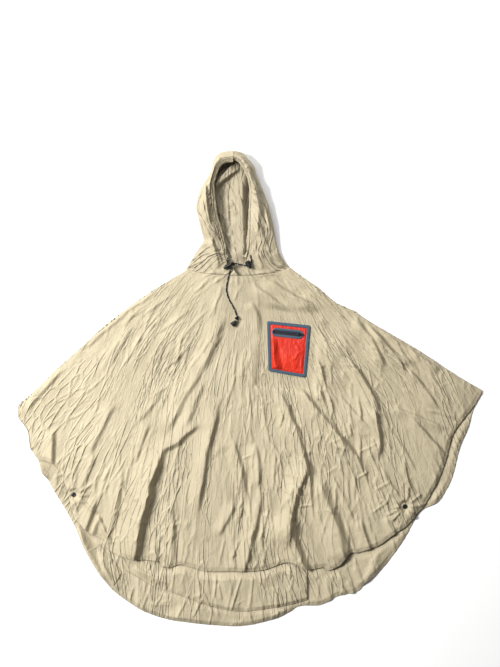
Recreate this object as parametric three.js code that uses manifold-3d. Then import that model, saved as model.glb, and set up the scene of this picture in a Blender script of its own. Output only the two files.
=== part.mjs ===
// Hooded rain poncho, laid out flat and face up.
// Millimetres: +X to the viewer's right, +Y toward the hood, +Z up from the surface it lies on.
// The origin is on that surface, under the middle of the outline.

import * as THREE from 'three';
import { mergeVertices } from 'three/addons/utils/BufferGeometryUtils.js';
import Module from 'manifold-3d';

const wasm = await Module();
wasm.setup();

// Driving dimensions
const WALL = 1.6;                // body and hood cloth, doubled at its seams
const POCKET_WALL = 1.2;         // chest pocket cloth
const TAPE = 1.0;                // bonded edge tape
const GAP = 0.3;                 // air between pieces at a seam
const CORD_DIAMETER = 4;
const SNAP_DIAMETER = 15;
const CASING_WIDTH = 18;         // drawcord channel round the face opening
const CASING_THICKNESS = 3.6;
const FRONT_UNDER = WALL + GAP;  // height of the front panel's lower face where it lies flat
const FRONT_TOP = FRONT_UNDER + WALL;

// Plan points, [x, y]. The front hem and the back hem run from the left wrist corner to the right one.
const LEFT_SHOULDER = [
  [-717, -48], [-690, -26], [-651, 9], [-602, 59], [-553, 103], [-498, 153],
  [-454, 192], [-404, 232], [-345, 276], [-281, 318], [-206, 363], [-197, 374],
];
const NECK_SEAM = [
  [-197, 374], [-170, 363], [-138, 357], [-106, 353], [-28, 349], [20, 352], [60, 357], [99, 365], [123, 376],
];
const RIGHT_SHOULDER = [
  [123, 376], [163, 346], [213, 311], [262, 269], [316, 244], [356, 217],
  [405, 187], [494, 135], [568, 88], [618, 54], [667, 24], [717, -4],
];
const FRONT_HEM = {
  left: [
    [-716, -56], [-714, -88], [-686, -127], [-677, -180], [-656, -217], [-621, -225], [-595, -243],
    [-576, -280], [-564, -318], [-555, -353], [-543, -400], [-528, -414], [-493, -448], [-450, -468],
    [-442, -494], [-403, -515], [-360, -527],
  ],
  middle: [
    [-360, -527], [-285, -533], [-270, -550], [-245, -552], [-217, -543], [-177, -552], [-130, -564],
    [-40, -564], [37, -561], [99, -540], [133, -536], [177, -558], [226, -552], [245, -561], [279, -544],
  ],
  right: [
    [279, -544], [307, -508], [337, -506], [373, -492], [403, -482], [452, -444], [485, -424], [515, -388],
    [538, -362], [580, -287], [604, -228], [627, -145], [657, -98], [690, -57], [716, -14],
  ],
};
const BACK_HEM = {
  left: [
    [-719, -60], [-717, -89], [-690, -129], [-681, -183], [-661, -209], [-642, -257], [-627, -277],
    [-603, -322], [-573, -370], [-538, -435], [-514, -494], [-478, -554], [-443, -601],
  ],
  middle: [
    [-443, -601], [-419, -628], [-348, -678], [-301, -699], [-260, -712], [-211, -720], [-137, -729],
    [-63, -734], [-13, -732], [36, -722], [86, -707], [129, -686], [146, -670], [215, -668], [273, -640],
    [331, -626], [355, -601],
  ],
  right: [
    [355, -601], [390, -572], [431, -528], [480, -456], [518, -391], [540, -370], [580, -349], [604, -316],
    [627, -269], [648, -183], [672, -124], [693, -60], [719, -10],
  ],
};

// Folds, one row each: where the ridge starts and ends, how far it bows sideways at mid length,
// its half width, its height, and how much steeper (0 to 1) its +X side is.
const FOLD_COLUMNS = ['x0', 'y0', 'x1', 'y1', 'bow', 'width', 'height', 'lean'];
const FRONT_FOLDS = foldTable([
  [-150, -100, -285, -195, 4, 34, 13, 0.25],
  [-258, -150, -368, -580, -12, 42, 22, 0.3],
  [-283, -470, -293, -570, 0, 20, 8, 0.2],
  [-84, 225, -160, 45, 6, 34, 12, 0.2],
  [-150, 80, -272, -150, 4, 28, 10, 0.2],
  [-145, 40, -207, -120, 6, 28, 8, 0.2],
  [-96, -20, -165, -415, -4, 32, 15, 0.3],
  [-63, -140, -5, -362, 4, 22, 9, 0.2],
  [12, -160, 20, -312, 8, 22, 9, 0.2],
  [42, -300, -32, -600, 4, 24, 11, 0.3],
  [-44, -348, -98, -460, 0, 22, 8, 0.2],
  [74, 30, 200, -372, 16, 32, 14, 0.3],
  [172, -232, 122, -440, -6, 34, 17, 0.3],
  [122, -420, 182, -600, -8, 34, 18, 0.3],
  [188, -240, 306, -580, 14, 38, 17, 0.3],
  [338, -395, 376, -520, 0, 20, 9, 0.2],
  [420, -395, 458, -470, 0, 16, 6, 0.2],
  [36, 345, 222, 245, -4, 32, 10, 0.2],
  [2, 335, 168, 222, -12, 26, 8, 0.2],
  [-2, 275, 46, 175, 4, 24, 9, 0.2],
  [128, 20, 350, -245, 10, 28, 12, 0.25],
  [294, 110, 412, -92, 4, 24, 9, 0.2],
  [318, 232, 424, 58, 4, 26, 9, 0.2],
  [360, 212, 518, 74, -20, 22, 8, 0.2],
  [496, 122, 592, 54, -6, 18, 6, 0.2],
  [480, 70, 588, -70, 4, 22, 8, 0.2],
  [380, -50, 392, -222, 12, 26, 10, 0.2],
  [415, -48, 622, -126, 4, 20, 7, 0.2],
  [486, -74, 608, -220, 4, 22, 7, 0.2],
  [200, -125, 290, -190, 0, 20, 7, 0.2],
  [401, -236, 466, -345, 0, 18, 7, 0.2],
  [478, -200, 538, -350, -20, 18, 7, 0.2],
  [-306, 304, -542, 100, -3, 14, 4, 0.1],
  [-570, 70, -700, -86, -4, 18, 7, 0.2],
  [-350, 205, -436, 60, -10, 20, 6, 0.2],
  [-258, 24, -348, -110, 2, 20, 6, 0.2],
  [-303, -95, -357, -238, -6, 20, 7, 0.2],
  [-410, -30, -500, -215, -4, 24, 8, 0.2],
  [-470, -190, -532, -330, -3, 22, 7, 0.2],
  [-392, -230, -440, -480, 4, 26, 9, 0.25],
  [-470, -330, -520, -460, 0, 26, 11, 0.2],
  [-610, -120, -612, -250, 0, 24, 12, 0.2],
  [-236, -330, -232, -560, -4, 26, 9, 0.25],
]);
const BACK_FOLDS = foldTable([
  [346, -612, 400, -505, -4, 22, 10, 0.1],
  [236, -572, 246, -668, 2, 18, 6, 0.1],
  [276, -568, 292, -644, 3, 18, 6, 0.1],
]);

// Grid of each panel: columns along its left, middle and right stretch, and the places of its rows
// between the top edge (0) and the hem (1). The back's rows crowd toward the hem, which shows.
const FRONT_COLUMNS = [24, 24, 24];
const FRONT_ROWS = evenSteps(19);
const BACK_COLUMNS = [18, 24, 18];
const BACK_ROWS = [0, 0.35, 0.6, 0.74, 0.82, 0.87, 0.91, 0.94, 0.97, 1];
const BACK_NECK = [[-197, 374], [-37, 376], [123, 376]];

// Where the front panel climbs over the stow pocket, in Y, and the swell of the gathered neck
const HEM_STEP = { flat: -400, raised: -460 };
const NECK_SWELL = { x: -35, y: 350, reachX: 170, reachY: 130, height: 7 };

// Strips of doubled cloth on the back panel, each between an inner and an outer edge
const FACING_SIDE = {
  inner: [[-462, -486], [-429, -523], [-397, -566]],
  outer: [[-508, -498], [-476, -552], [-424, -617]],
  columns: 8,
};
const FACING_BAND = {
  inner: [[-386, -560], [-325, -595], [-282, -621], [-242, -630], [-211, -641], [-112, -677], [-34, -690],
    [37, -684], [115, -672], [183, -654]],
  outer: [[-428, -620], [-417, -627], [-348, -675], [-300, -697], [-260, -709], [-211, -717], [-137, -726],
    [-63, -731], [-13, -729], [36, -719], [86, -704], [128, -684], [145, -673], [182, -667]],
  columns: 28,
  lapped: 0.1,                   // share of its length that lies on the side facing
};
const STOW_POCKET = {
  inner: [[-240, -528], [-160, -522], [-40, -524], [60, -522], [138, -536], [176, -556]],
  outer: [[-243, -628], [-211, -638], [-112, -674], [-34, -687], [37, -681], [115, -669], [177, -653]],
  columns: 20,
};

// Hood. Each half runs from the centre-back seam on the surface, out round the outline and over to the
// face edge. s goes from the neck (0) to the crown (1).
const HOOD = {
  left: {
    side: -1,
    seam: [
      [-37.3, 376.4], [-37.3, 400], [-47.3, 437], [-59.3, 468], [-63.3, 555], [-66.3, 600], [-60.3, 670],
      [-51.3, 708],
    ],
    rim: [
      [-197, 375], [-158, 436], [-144, 458], [-151, 490], [-159, 531], [-165, 556], [-160, 590],
      [-150, 622], [-134, 650], [-121, 676], [-114, 706], [-98, 726], [-76, 732], [-51.3, 734],
    ],
    edge: [
      [-29, 351], [-45, 371], [-60, 388], [-74, 398], [-87, 444], [-102, 495], [-114, 535], [-120, 594],
      [-121, 638], [-113, 663], [-102, 688], [-82, 708], [-51.3, 713],
    ],
  },
  right: {
    side: 1,
    seam: [
      [-36.7, 376.4], [-36.7, 400], [-46.7, 437], [-58.7, 468], [-62.7, 555], [-65.7, 600], [-59.7, 670],
      [-50.7, 708],
    ],
    rim: [
      [123, 377], [99, 405], [83, 440], [76, 485], [67, 529], [56, 571], [42, 605], [23, 653], [12, 688],
      [-4, 709], [-20, 725], [-36, 732], [-50.7, 734],
    ],
    edge: [
      [-27, 351], [-18, 378], [-9, 402], [-2, 436], [1, 475], [2, 535], [4, 600], [1, 636], [-6, 660],
      [-20, 688], [-35, 706], [-50.7, 713],
    ],
  },
};
// side: height of the fold at the outline. edge: height of the face edge. turn: plan radius of the fold.
// bulge: extra height of the cloth half way between them.
const HOOD_COLUMNS = ['s', 'side', 'edge', 'turn', 'bulge'];
const HOOD_SECTIONS = [
  [0.00, 3.5, 10.5, 1.75, 0],
  [0.06, 8, 12, 4, 2],
  [0.15, 16, 15, 8, 4],
  [0.35, 28, 30, 12, 7],
  [0.60, 34, 40, 13, 8],
  [0.80, 38, 44, 12, 6],
  [1.00, 44, 48, 10, 0],
];
const HOOD_PLACES = evenSteps(19, 1.25);
const HOOD_STEPS = { floor: 4, fold: 6, side: 6 };
const HOOD_SEAM_FADE = 0.12;     // s at which the hood no longer follows the neck seam
const CASING_START = 0.15;       // s where the drawcord leaves the channel, just above the throat
const CASING_TILT = { throat: 0.1, face: 0.9, reached: 0.3 };
const CASING_SIDES = 10;

// Chest pocket, a little out of square as it lies: top left, top right, bottom right, bottom left.
const POCKET_CORNERS = [[53, 210], [186, 196], [172, 36], [58, 56]];
const POCKET_WIDTH = 124;
const POCKET_HEIGHT = 157;
const POCKET_BORDER = 8.5;
const POCKET_RISE = 1.5;         // room for the zip tape behind the pocket cloth
const POCKET_RAMP = { from: POCKET_BORDER + 0.8, to: POCKET_BORDER + 4.2 };
const POCKET_BELLY = { a: 0.55, b: 0.68, reachA: 0.42, reachB: 0.26, height: 4 };
const POCKET_CREASE = { a: 0.18, b: 0.4, slope: 0.25, reach: 0.1, depth: 1.2 };
const POCKET_CREASE_ENDS = { top: [0.4, 0.55], bottom: [0.9, 0.8] };
const POCKET_CALM = { x: 117, y: 125, halfWidth: 80, halfHeight: 112, skewX: 0.07, skewY: 0.1, fade: 24 };
const ZIP = {
  x: 116,
  y: 172.5,
  turn: THREE.MathUtils.degToRad(-6.2),
  slotLength: 90,
  slotWidth: 13,
  windowLength: 97,
  windowWidth: 27,
  tapeLength: 93,
  tapeWidth: 20,
};
// start: near end of the slider along the zip. axis: height of the pull tab's hinge over the front panel.
const ZIP_SLIDER = { start: 28.5, length: 13, width: 9.5, height: 2.2, axis: 5.2, bridgeWidth: 3.2 };
const BRIDGE = { inset: 1, length: 10.8, leg: 1.6, thickness: 1.2, chamfer: 1.2, foot: 1, shoulder: 0.4 };
const PULL_TAB = {
  start: 7.4, length: 14.2, width: 7.4, thickness: 1.2, bar: 1.4, windowWidth: 4.6, windowLength: 5.3,
  rounding: 2.6, hole: 1.6, holeFromTip: 3.6,
};

const SNAPS = { left: [-546, -326], right: [479, -363] };
const SNAP_SEAT = { rise: 3.6, flat: 22, fade: 50 };
const SNAP_CALM = { flat: 14, fade: 40 };
const SNAP_RADIUS = SNAP_DIAMETER / 2;
const SNAP_CAP_PROFILE = [
  [0, 0], [SNAP_RADIUS - 0.4, 0], [SNAP_RADIUS, 0.6], [SNAP_RADIUS - 0.6, 1.6], [SNAP_RADIUS - 3.2, 2.4],
  [SNAP_RADIUS - 4.2, 2], [0, 2],
];
const SNAP_SOCKET_PROFILE = [[0, 0], [6.2, 0], [6.2, 1.6], [5, 2.4], [0, 2.4]];

const LOCKS = {
  left: { x: -67, y: 380, z: 22.9, turn: THREE.MathUtils.degToRad(30) },
  right: { x: -5.3, y: 386, z: 23.4, turn: THREE.MathUtils.degToRad(-60) },
};
const LOCK = {
  radius: 7.5, length: 19, rim: 1.5, step: 1.4, bore: 2.7,
  buttonRadius: 5, buttonLength: 6, buttonTaper: 0.8,
};

// Drawcord. The tail leaves the left channel, goes through the left lock and lies down the front.
// The cross stretch runs from the left lock through the right one and ends free above it.
const CORD_ROUTES = {
  drawcord_tail: [
    [-66.2, 401.8, 13.8], [-66.6, 399, 14.6], [-67.8, 395.2, 17.8], [-69.8, 391.2, 21.2],
    [-71.2, 387.3, 22.9], [-69.2, 383.8, 22.9], [-67, 380, 22.9], [-64.8, 376.2, 22.9],
    [-62.8, 372.7, 22.7], [-61.6, 366.5, 19.8], [-62.6, 360, 16.4], [-65.4, 352, 13.8],
    [-68, 341, 12.6], [-69.8, 331, 12.2], [-72, 321, 12], [-73, 311, 11.7], [-72, 300, 11.3],
    [-69, 288, 10.6], [-64, 275, 9.4], [-57, 263, 8.6], [-50.4, 251, 7.9], [-45.6, 240, 7.2],
    [-42.2, 229, 7], [-40, 220.5, 8], [-40.6, 213.4, 10.6],
  ],
  drawcord_cross: [
    [-58.1, 385.2, 22.9], [-52, 387.4, 22.4], [-45, 387.6, 20.9], [-37.8, 386, 19.8], [-29, 384, 20],
    [-21, 381.8, 21.9], [-14.9, 381.2, 23.3], [-11.4, 382.5, 23.4], [-8.3, 384.3, 23.4],
    [-5.3, 386, 23.4], [-2.3, 387.7, 23.4], [0.8, 389.5, 23.4], [4.2, 393.4, 22.4], [4.4, 399.6, 20.6],
    [2.6, 406, 20.1], [2.2, 413.5, 20.3],
  ],
};
const CORD_STEPS = { drawcord_tail: 40, drawcord_cross: 24 };
const CORD_END = { x: -49.4, y: 204.2, z: 11.6, turn: THREE.MathUtils.degToRad(-134) };
const CORD_END_PROFILE = [
  [0, -9.5], [3.4, -9.5], [4.4, -8.6], [5, -4], [7.2, 2],
  [7.6, 9], [7, 9.5], [5.6, 9.5], [5.2, 3.5], [0, 3.5],
];
const ROUND = 16;                // sides of a small round piece

// Materials, one for each finish
const cloth = material(0xdccfae, 0.75, 0);
const hoodCloth = material(0xdacba8, 0.75, 0);
const pocketCloth = material(0xf23a20, 0.6, 0);
const edgeTape = material(0x4f6f87, 0.5, 0);
const zipTape = material(0x151a26, 0.7, 0);
const zipMetal = material(0x1c2029, 0.35, 0.6);
const blackPlastic = material(0x14161a, 0.45, 0);
const cordYarn = material(0x17181b, 0.85, 0);

function material(color, roughness, metalness) {
  return new THREE.MeshStandardMaterial({ color, roughness, metalness });
}

function foldTable(rows) {
  return rows.map((row) => Object.fromEntries(FOLD_COLUMNS.map((name, i) => [name, row[i]])));
}

function point(x, y, z = 0) {
  return new THREE.Vector3(x, y, z);
}

// 0 at from, 1 at to, whichever of the two is larger
function smooth(from, to, value) {
  const k = THREE.MathUtils.clamp((value - from) / (to - from), 0, 1);
  return k * k * (3 - 2 * k);
}

// 1 at the middle of a ridge, 0 at its foot
function bump(q) {
  return Math.abs(q) < 1 ? (1 - q * q) ** 2 : 0;
}

function foldHeight(folds, x, y) {
  let total = 0;
  for (const fold of folds) {
    const dx = fold.x1 - fold.x0;
    const dy = fold.y1 - fold.y0;
    const length = Math.hypot(dx, dy);
    const along = ((x - fold.x0) * dx + (y - fold.y0) * dy) / (length * length);
    const bow = 4 * fold.bow * along * (1 - along);
    const aside = ((y - fold.y0) * dx - (x - fold.x0) * dy) / length - bow;
    const reach = fold.width * (aside > 0 ? 1 - fold.lean : 1 + fold.lean);
    const ends = smooth(0, 0.25, along) * smooth(0, 0.25, 1 - along);
    total += fold.height * bump(aside / reach) * ends;
  }
  return total;
}

// 1 over the chest pocket, where the panel lies flat, fading to 0 around it
function overPocket(x, y) {
  const calm = POCKET_CALM;
  const beyondX = Math.abs(x - calm.x - calm.skewX * (y - calm.y)) - calm.halfWidth;
  const beyondY = Math.abs(y - calm.y + calm.skewY * (x - calm.x)) - calm.halfHeight;
  return 1 - smooth(0, calm.fade, Math.max(beyondX, beyondY));
}

function snapSeat(x, y) {
  return Object.values(SNAPS).reduce((rise, [sx, sy]) => {
    return rise + SNAP_SEAT.rise * (1 - smooth(SNAP_SEAT.flat, SNAP_SEAT.fade, Math.hypot(x - sx, y - sy)));
  }, 0);
}

function overSnap(x, y) {
  return Object.values(SNAPS).reduce((near, [sx, sy]) => {
    return Math.max(near, 1 - smooth(SNAP_CALM.flat, SNAP_CALM.fade, Math.hypot(x - sx, y - sy)));
  }, 0);
}

function backTop(x, y) {
  return WALL + foldHeight(BACK_FOLDS, x, y);
}

function frontTop(x, y) {
  const swell = NECK_SWELL;
  const pieceBelow = (WALL + GAP) * smooth(HEM_STEP.flat, HEM_STEP.raised, y);
  const neckSwell = swell.height * bump((x - swell.x) / swell.reachX) * bump((y - swell.y) / swell.reachY);
  const calm = Math.max(overPocket(x, y), overSnap(x, y));
  const folds = (1 - calm) * foldHeight(FRONT_FOLDS, x, y);
  return FRONT_TOP + pieceBelow + neckSwell + folds + snapSeat(x, y);
}

function neckSeamY(x) {
  for (let i = 1; i < NECK_SEAM.length; i += 1) {
    const [x0, y0] = NECK_SEAM[i - 1];
    const [x1, y1] = NECK_SEAM[i];
    if (x <= x1 || i === NECK_SEAM.length - 1) {
      return y0 + (y1 - y0) * (x - x0) / (x1 - x0);
    }
  }
  return NECK_SEAM[0][1];
}

function planCurve(points) {
  const curve = new THREE.CatmullRomCurve3(points.map(([x, y]) => point(x, y)), false, 'catmullrom', 0.5);
  curve.arcLengthDivisions = 1000;
  return curve;
}

// Two grids of points, outer and inner, joined round their rims into one closed wall
function wallGeometry(outer, inner) {
  const rows = outer.length;
  const cols = outer[0].length;
  const positions = [...outer.flat(), ...inner.flat()].flatMap((p) => [p.x, p.y, p.z]);
  const index = [];
  const at = (layer, r, c) => layer * rows * cols + r * cols + c;
  const quad = (a, b, c, d) => index.push(a, b, c, a, c, d);
  for (let r = 0; r < rows - 1; r += 1) {
    for (let c = 0; c < cols - 1; c += 1) {
      quad(at(0, r, c), at(0, r, c + 1), at(0, r + 1, c + 1), at(0, r + 1, c));
      quad(at(1, r, c), at(1, r + 1, c), at(1, r + 1, c + 1), at(1, r, c + 1));
    }
  }
  for (let c = 0; c < cols - 1; c += 1) {
    quad(at(0, 0, c), at(1, 0, c), at(1, 0, c + 1), at(0, 0, c + 1));
    quad(at(0, rows - 1, c + 1), at(1, rows - 1, c + 1), at(1, rows - 1, c), at(0, rows - 1, c));
  }
  for (let r = 0; r < rows - 1; r += 1) {
    quad(at(0, r + 1, 0), at(1, r + 1, 0), at(1, r, 0), at(0, r, 0));
    quad(at(0, r, cols - 1), at(1, r, cols - 1), at(1, r + 1, cols - 1), at(0, r + 1, cols - 1));
  }
  return facingOut(positions, index);
}

// The faces are turned over where their signed volume is negative
function facingOut(positions, index) {
  const corner = (i) => point(positions[3 * i], positions[3 * i + 1], positions[3 * i + 2]);
  let volume = 0;
  for (let i = 0; i < index.length; i += 3) {
    volume += corner(index[i]).dot(corner(index[i + 1]).cross(corner(index[i + 2])));
  }
  if (volume < 0) {
    index.reverse();
  }
  const geometry = new THREE.BufferGeometry();
  geometry.setAttribute('position', new THREE.Float32BufferAttribute(positions, 3));
  geometry.setIndex(index);
  return geometry;
}

function solidOf(geometry) {
  const bare = geometry.clone();
  bare.deleteAttribute('normal');
  bare.deleteAttribute('uv');
  const merged = mergeVertices(bare, 1e-4);
  return new wasm.Manifold(new wasm.Mesh({
    numProp: 3,
    vertProperties: new Float32Array(merged.attributes.position.array),
    triVerts: new Uint32Array(merged.index.array),
  }));
}

function geometryOf(solid) {
  const mesh = solid.getMesh();
  const geometry = new THREE.BufferGeometry();
  geometry.setAttribute('position', new THREE.Float32BufferAttribute(mesh.vertProperties, 3));
  geometry.setIndex(Array.from(mesh.triVerts));
  return geometry;
}

function cut(geometry, ...tools) {
  return geometryOf(tools.reduce((solid, tool) => solid.subtract(solidOf(tool)), solidOf(geometry)));
}

function join(geometry, ...others) {
  return geometryOf(others.reduce((solid, other) => solid.add(solidOf(other)), solidOf(geometry)));
}

function named(name, geometry, finish) {
  const mesh = new THREE.Mesh(geometry, finish);
  mesh.name = name;
  return mesh;
}

// A panel fans out between a top edge and a hem, both given as stretches with a number of columns each
function fanGrid(topStretches, hemStretches, columns, rowPlaces, height) {
  const tops = [];
  const hems = [];
  topStretches.forEach((stretch, i) => {
    const top = planCurve(stretch);
    const hem = planCurve(hemStretches[i]);
    for (let c = i === 0 ? 0 : 1; c <= columns[i]; c += 1) {
      tops.push(top.getPointAt(c / columns[i]));
      hems.push(hem.getPointAt(c / columns[i]));
    }
  });
  return rowPlaces.map((v) => tops.map((top, c) => {
    const p = top.clone().lerp(hems[c], v);
    return point(p.x, p.y, height(p.x, p.y));
  }));
}

function lowered(grid, thickness) {
  return grid.map((row) => row.map((p) => point(p.x, p.y, p.z - thickness)));
}

function evenSteps(count, power = 1) {
  return Array.from({ length: count + 1 }, (_, i) => (i / count) ** power);
}

// Body
function frontPanel() {
  const top = fanGrid(
    [LEFT_SHOULDER, NECK_SEAM, RIGHT_SHOULDER],
    [FRONT_HEM.left, FRONT_HEM.middle, FRONT_HEM.right],
    FRONT_COLUMNS,
    FRONT_ROWS,
    frontTop,
  );
  return named('front_panel', wallGeometry(top, lowered(top, WALL)), cloth);
}

function backPanel() {
  const top = fanGrid(
    [LEFT_SHOULDER, BACK_NECK, RIGHT_SHOULDER],
    [BACK_HEM.left, BACK_HEM.middle, BACK_HEM.right],
    BACK_COLUMNS,
    BACK_ROWS,
    backTop,
  );
  return named('back_panel', wallGeometry(top, lowered(top, WALL)), cloth);
}

// Strip between two plan curves, lying on the back panel. Its first stretch may lap over another strip.
function backStrip(name, strip) {
  const inner = planCurve(strip.inner);
  const outer = planCurve(strip.outer);
  const lapped = strip.lapped ?? 0;
  const top = evenSteps(2).map((v) => evenSteps(strip.columns).map((u) => {
    const p = inner.getPointAt(u).lerp(outer.getPointAt(u), v);
    const lift = lapped ? (WALL + GAP) * (1 - smooth(lapped, 2 * lapped, u)) : 0;
    return point(p.x, p.y, backTop(p.x, p.y) + GAP + WALL + lift);
  }));
  return named(name, wallGeometry(top, lowered(top, WALL)), cloth);
}

// Hood
function hoodRow(s) {
  const named = (row) => Object.fromEntries(HOOD_COLUMNS.map((name, i) => [name, row[i]]));
  const rows = HOOD_SECTIONS.map(named);
  const next = Math.max(1, rows.findIndex((row) => row.s >= s));
  const [a, b] = [rows[next - 1], rows[next]];
  const k = (s - a.s) / (b.s - a.s);
  return Object.fromEntries(HOOD_COLUMNS.map((name) => [name, a[name] + (b[name] - a[name]) * k]));
}

// One section of a hood half: along the surface, round the fold at the outline, over to the face edge.
// inset is 0 on the outer face and WALL on the inner one.
function hoodSection(half, s, inset) {
  const row = hoodRow(s);
  const seam = half.seamCurve.getPointAt(s);
  const rim = half.rimCurve.getPointAt(s);
  const edge = half.edgeCurve.getPointAt(s);
  const outward = rim.clone().sub(seam).normalize();
  const centre = rim.clone().addScaledVector(outward, -row.turn);
  const section = [];
  for (const k of evenSteps(HOOD_STEPS.floor)) {
    const p = seam.clone().lerp(centre, k);
    section.push(point(p.x, p.y, inset));
  }
  for (const k of evenSteps(HOOD_STEPS.fold).slice(1)) {
    const angle = Math.PI * (k - 0.5);
    const p = centre.clone().addScaledVector(outward, (row.turn - inset) * Math.cos(angle));
    section.push(point(p.x, p.y, row.side / 2 + (row.side / 2 - inset) * Math.sin(angle)));
  }
  const atSeam = 1 - smooth(0, HOOD_SEAM_FADE, s);
  for (const k of evenSteps(HOOD_STEPS.side).slice(1)) {
    const p = centre.clone().lerp(edge, k);
    const seamY = neckSeamY(p.x) + 2 * GAP;
    const free = row.side + (row.edge - row.side) * k + row.bulge * Math.sin(Math.PI * k);
    const y = p.y + (seamY - p.y) * atSeam * (s === 0 ? 1 : smooth(0, 0.3, k));
    const z = free + (frontTop(p.x, seamY) - free) * atSeam;
    section.push(point(p.x, y, z - inset));
  }
  return section;
}

function hoodHalf(half) {
  half.seamCurve = planCurve(half.seam);
  half.rimCurve = planCurve(half.rim);
  half.edgeCurve = planCurve(half.edge);
  const outer = HOOD_PLACES.map((s) => hoodSection(half, s, 0));
  const inner = HOOD_PLACES.map((s) => hoodSection(half, s, WALL));
  const name = half.side < 0 ? 'hood_left' : 'hood_right';
  return named(name, wallGeometry(outer, inner), hoodCloth);
}

// Closed rod through rings of points, all with the same number of points
function rodGeometry(rings) {
  const sides = rings[0].length;
  const positions = rings.flat().flatMap((p) => [p.x, p.y, p.z]);
  const index = [];
  for (let r = 0; r < rings.length - 1; r += 1) {
    for (let c = 0; c < sides; c += 1) {
      const d = (c + 1) % sides;
      index.push(r * sides + c, r * sides + d, (r + 1) * sides + d);
      index.push(r * sides + c, (r + 1) * sides + d, (r + 1) * sides + c);
    }
  }
  const last = (rings.length - 1) * sides;
  for (let c = 1; c < sides - 1; c += 1) {
    index.push(0, c + 1, c);
    index.push(last, last + c, last + c + 1);
  }
  return facingOut(positions, index);
}

// Drawcord channel hanging from the face edge, tipped into the opening
function hoodCasing(half) {
  const rings = HOOD_PLACES.filter((s) => s >= CASING_START).map((s) => {
    const k = (s - CASING_START) / (1 - CASING_START);
    const row = hoodRow(s);
    const edge = half.edgeCurve.getPointAt(s);
    const along = half.edgeCurve.getTangentAt(Math.min(s, 0.999));
    const inward = s === 1 ? point(0, -1) : point(along.y, -along.x).multiplyScalar(-half.side);
    const share = smooth(0, CASING_TILT.reached, k);
    const tilt = THREE.MathUtils.lerp(CASING_TILT.throat, CASING_TILT.face, share);
    const across = inward.clone().multiplyScalar(Math.cos(tilt)).setZ(-Math.sin(tilt));
    const through = inward.clone().multiplyScalar(Math.sin(tilt)).setZ(Math.cos(tilt));
    const middle = point(edge.x, edge.y, row.edge - WALL / 2)
      .addScaledVector(across, CASING_WIDTH / 2)
      .addScaledVector(inward, 2 * GAP);
    return Array.from({ length: CASING_SIDES }, (_, i) => {
      const angle = 2 * Math.PI * i / CASING_SIDES;
      return middle.clone()
        .addScaledVector(across, CASING_WIDTH / 2 * Math.cos(angle))
        .addScaledVector(through, CASING_THICKNESS / 2 * Math.sin(angle));
    });
  });
  const name = half.side < 0 ? 'hood_casing_left' : 'hood_casing_right';
  return named(name, rodGeometry(rings), hoodCloth);
}

// Chest pocket
function pocketPoint(a, b) {
  const [tl, tr, br, bl] = POCKET_CORNERS.map(([x, y]) => point(x, y));
  return tl.clone().lerp(tr, a).lerp(bl.clone().lerp(br, a), b);
}

function roundedOutline(shape, inset, radius) {
  const a = inset / POCKET_WIDTH;
  const b = inset / POCKET_HEIGHT;
  const places = [[a, b], [a, 1 - b], [1 - a, 1 - b], [1 - a, b]];
  const corners = places.map(([across, down]) => pocketPoint(across, down));
  corners.forEach((corner, i) => {
    const before = corners[(i + 3) % 4].clone().sub(corner).setLength(radius).add(corner);
    const after = corners[(i + 1) % 4].clone().sub(corner).setLength(radius).add(corner);
    if (i === 0) {
      shape.moveTo(before.x, before.y);
    } else {
      shape.lineTo(before.x, before.y);
    }
    shape.quadraticCurveTo(corner.x, corner.y, after.x, after.y);
  });
  return shape;
}

function flatPiece(shape, thickness, z, curveSegments = 4) {
  const options = { depth: thickness, bevelEnabled: false, curveSegments };
  const geometry = new THREE.ExtrudeGeometry(shape, options);
  return geometry.translate(0, 0, z);
}

function stadium(shape, length, width) {
  const straight = (length - width) / 2;
  shape.moveTo(-straight, -width / 2);
  shape.lineTo(straight, -width / 2);
  shape.absarc(straight, 0, width / 2, -Math.PI / 2, Math.PI / 2, false);
  shape.lineTo(-straight, width / 2);
  shape.absarc(-straight, 0, width / 2, Math.PI / 2, 1.5 * Math.PI, false);
  return shape;
}

function placedOnZip(geometry) {
  return geometry.rotateZ(ZIP.turn).translate(ZIP.x, ZIP.y, 0);
}

function breaks(length, count) {
  const margin = [0, POCKET_RAMP.from, POCKET_RAMP.to];
  const middle = evenSteps(count).map((k) => POCKET_BORDER + 12 + k * (length - 2 * POCKET_BORDER - 24));
  const far = margin.map((d) => length - d).reverse();
  return [...margin, ...middle, ...far].map((d) => d / length);
}

function pocketRise(a, b) {
  const fromSide = Math.min(a, 1 - a) * POCKET_WIDTH;
  const fromEnd = Math.min(b, 1 - b) * POCKET_HEIGHT;
  const lift = smooth(POCKET_RAMP.from, POCKET_RAMP.to, Math.min(fromSide, fromEnd));
  const { height, reachA, reachB } = POCKET_BELLY;
  const belly = height * bump((a - POCKET_BELLY.a) / reachA) * bump((b - POCKET_BELLY.b) / reachB);
  const aside = a - POCKET_CREASE.a - POCKET_CREASE.slope * (b - POCKET_CREASE.b);
  const ends = smooth(...POCKET_CREASE_ENDS.top, b) * smooth(...POCKET_CREASE_ENDS.bottom, b);
  const crease = -POCKET_CREASE.depth * bump(aside / POCKET_CREASE.reach) * ends;
  return lift * (POCKET_RISE + belly + crease);
}

function pocketPanel() {
  const top = breaks(POCKET_HEIGHT, 6).map((b) => breaks(POCKET_WIDTH, 4).map((a) => {
    const p = pocketPoint(a, b);
    return point(p.x, p.y, FRONT_TOP + GAP + POCKET_WALL + pocketRise(a, b));
  }));
  const panel = wallGeometry(top, lowered(top, POCKET_WALL));
  const slot = flatPiece(stadium(new THREE.Shape(), ZIP.slotLength, ZIP.slotWidth), 20, FRONT_TOP);
  return named('pocket_panel', cut(panel, placedOnZip(slot)), pocketCloth);
}

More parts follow.
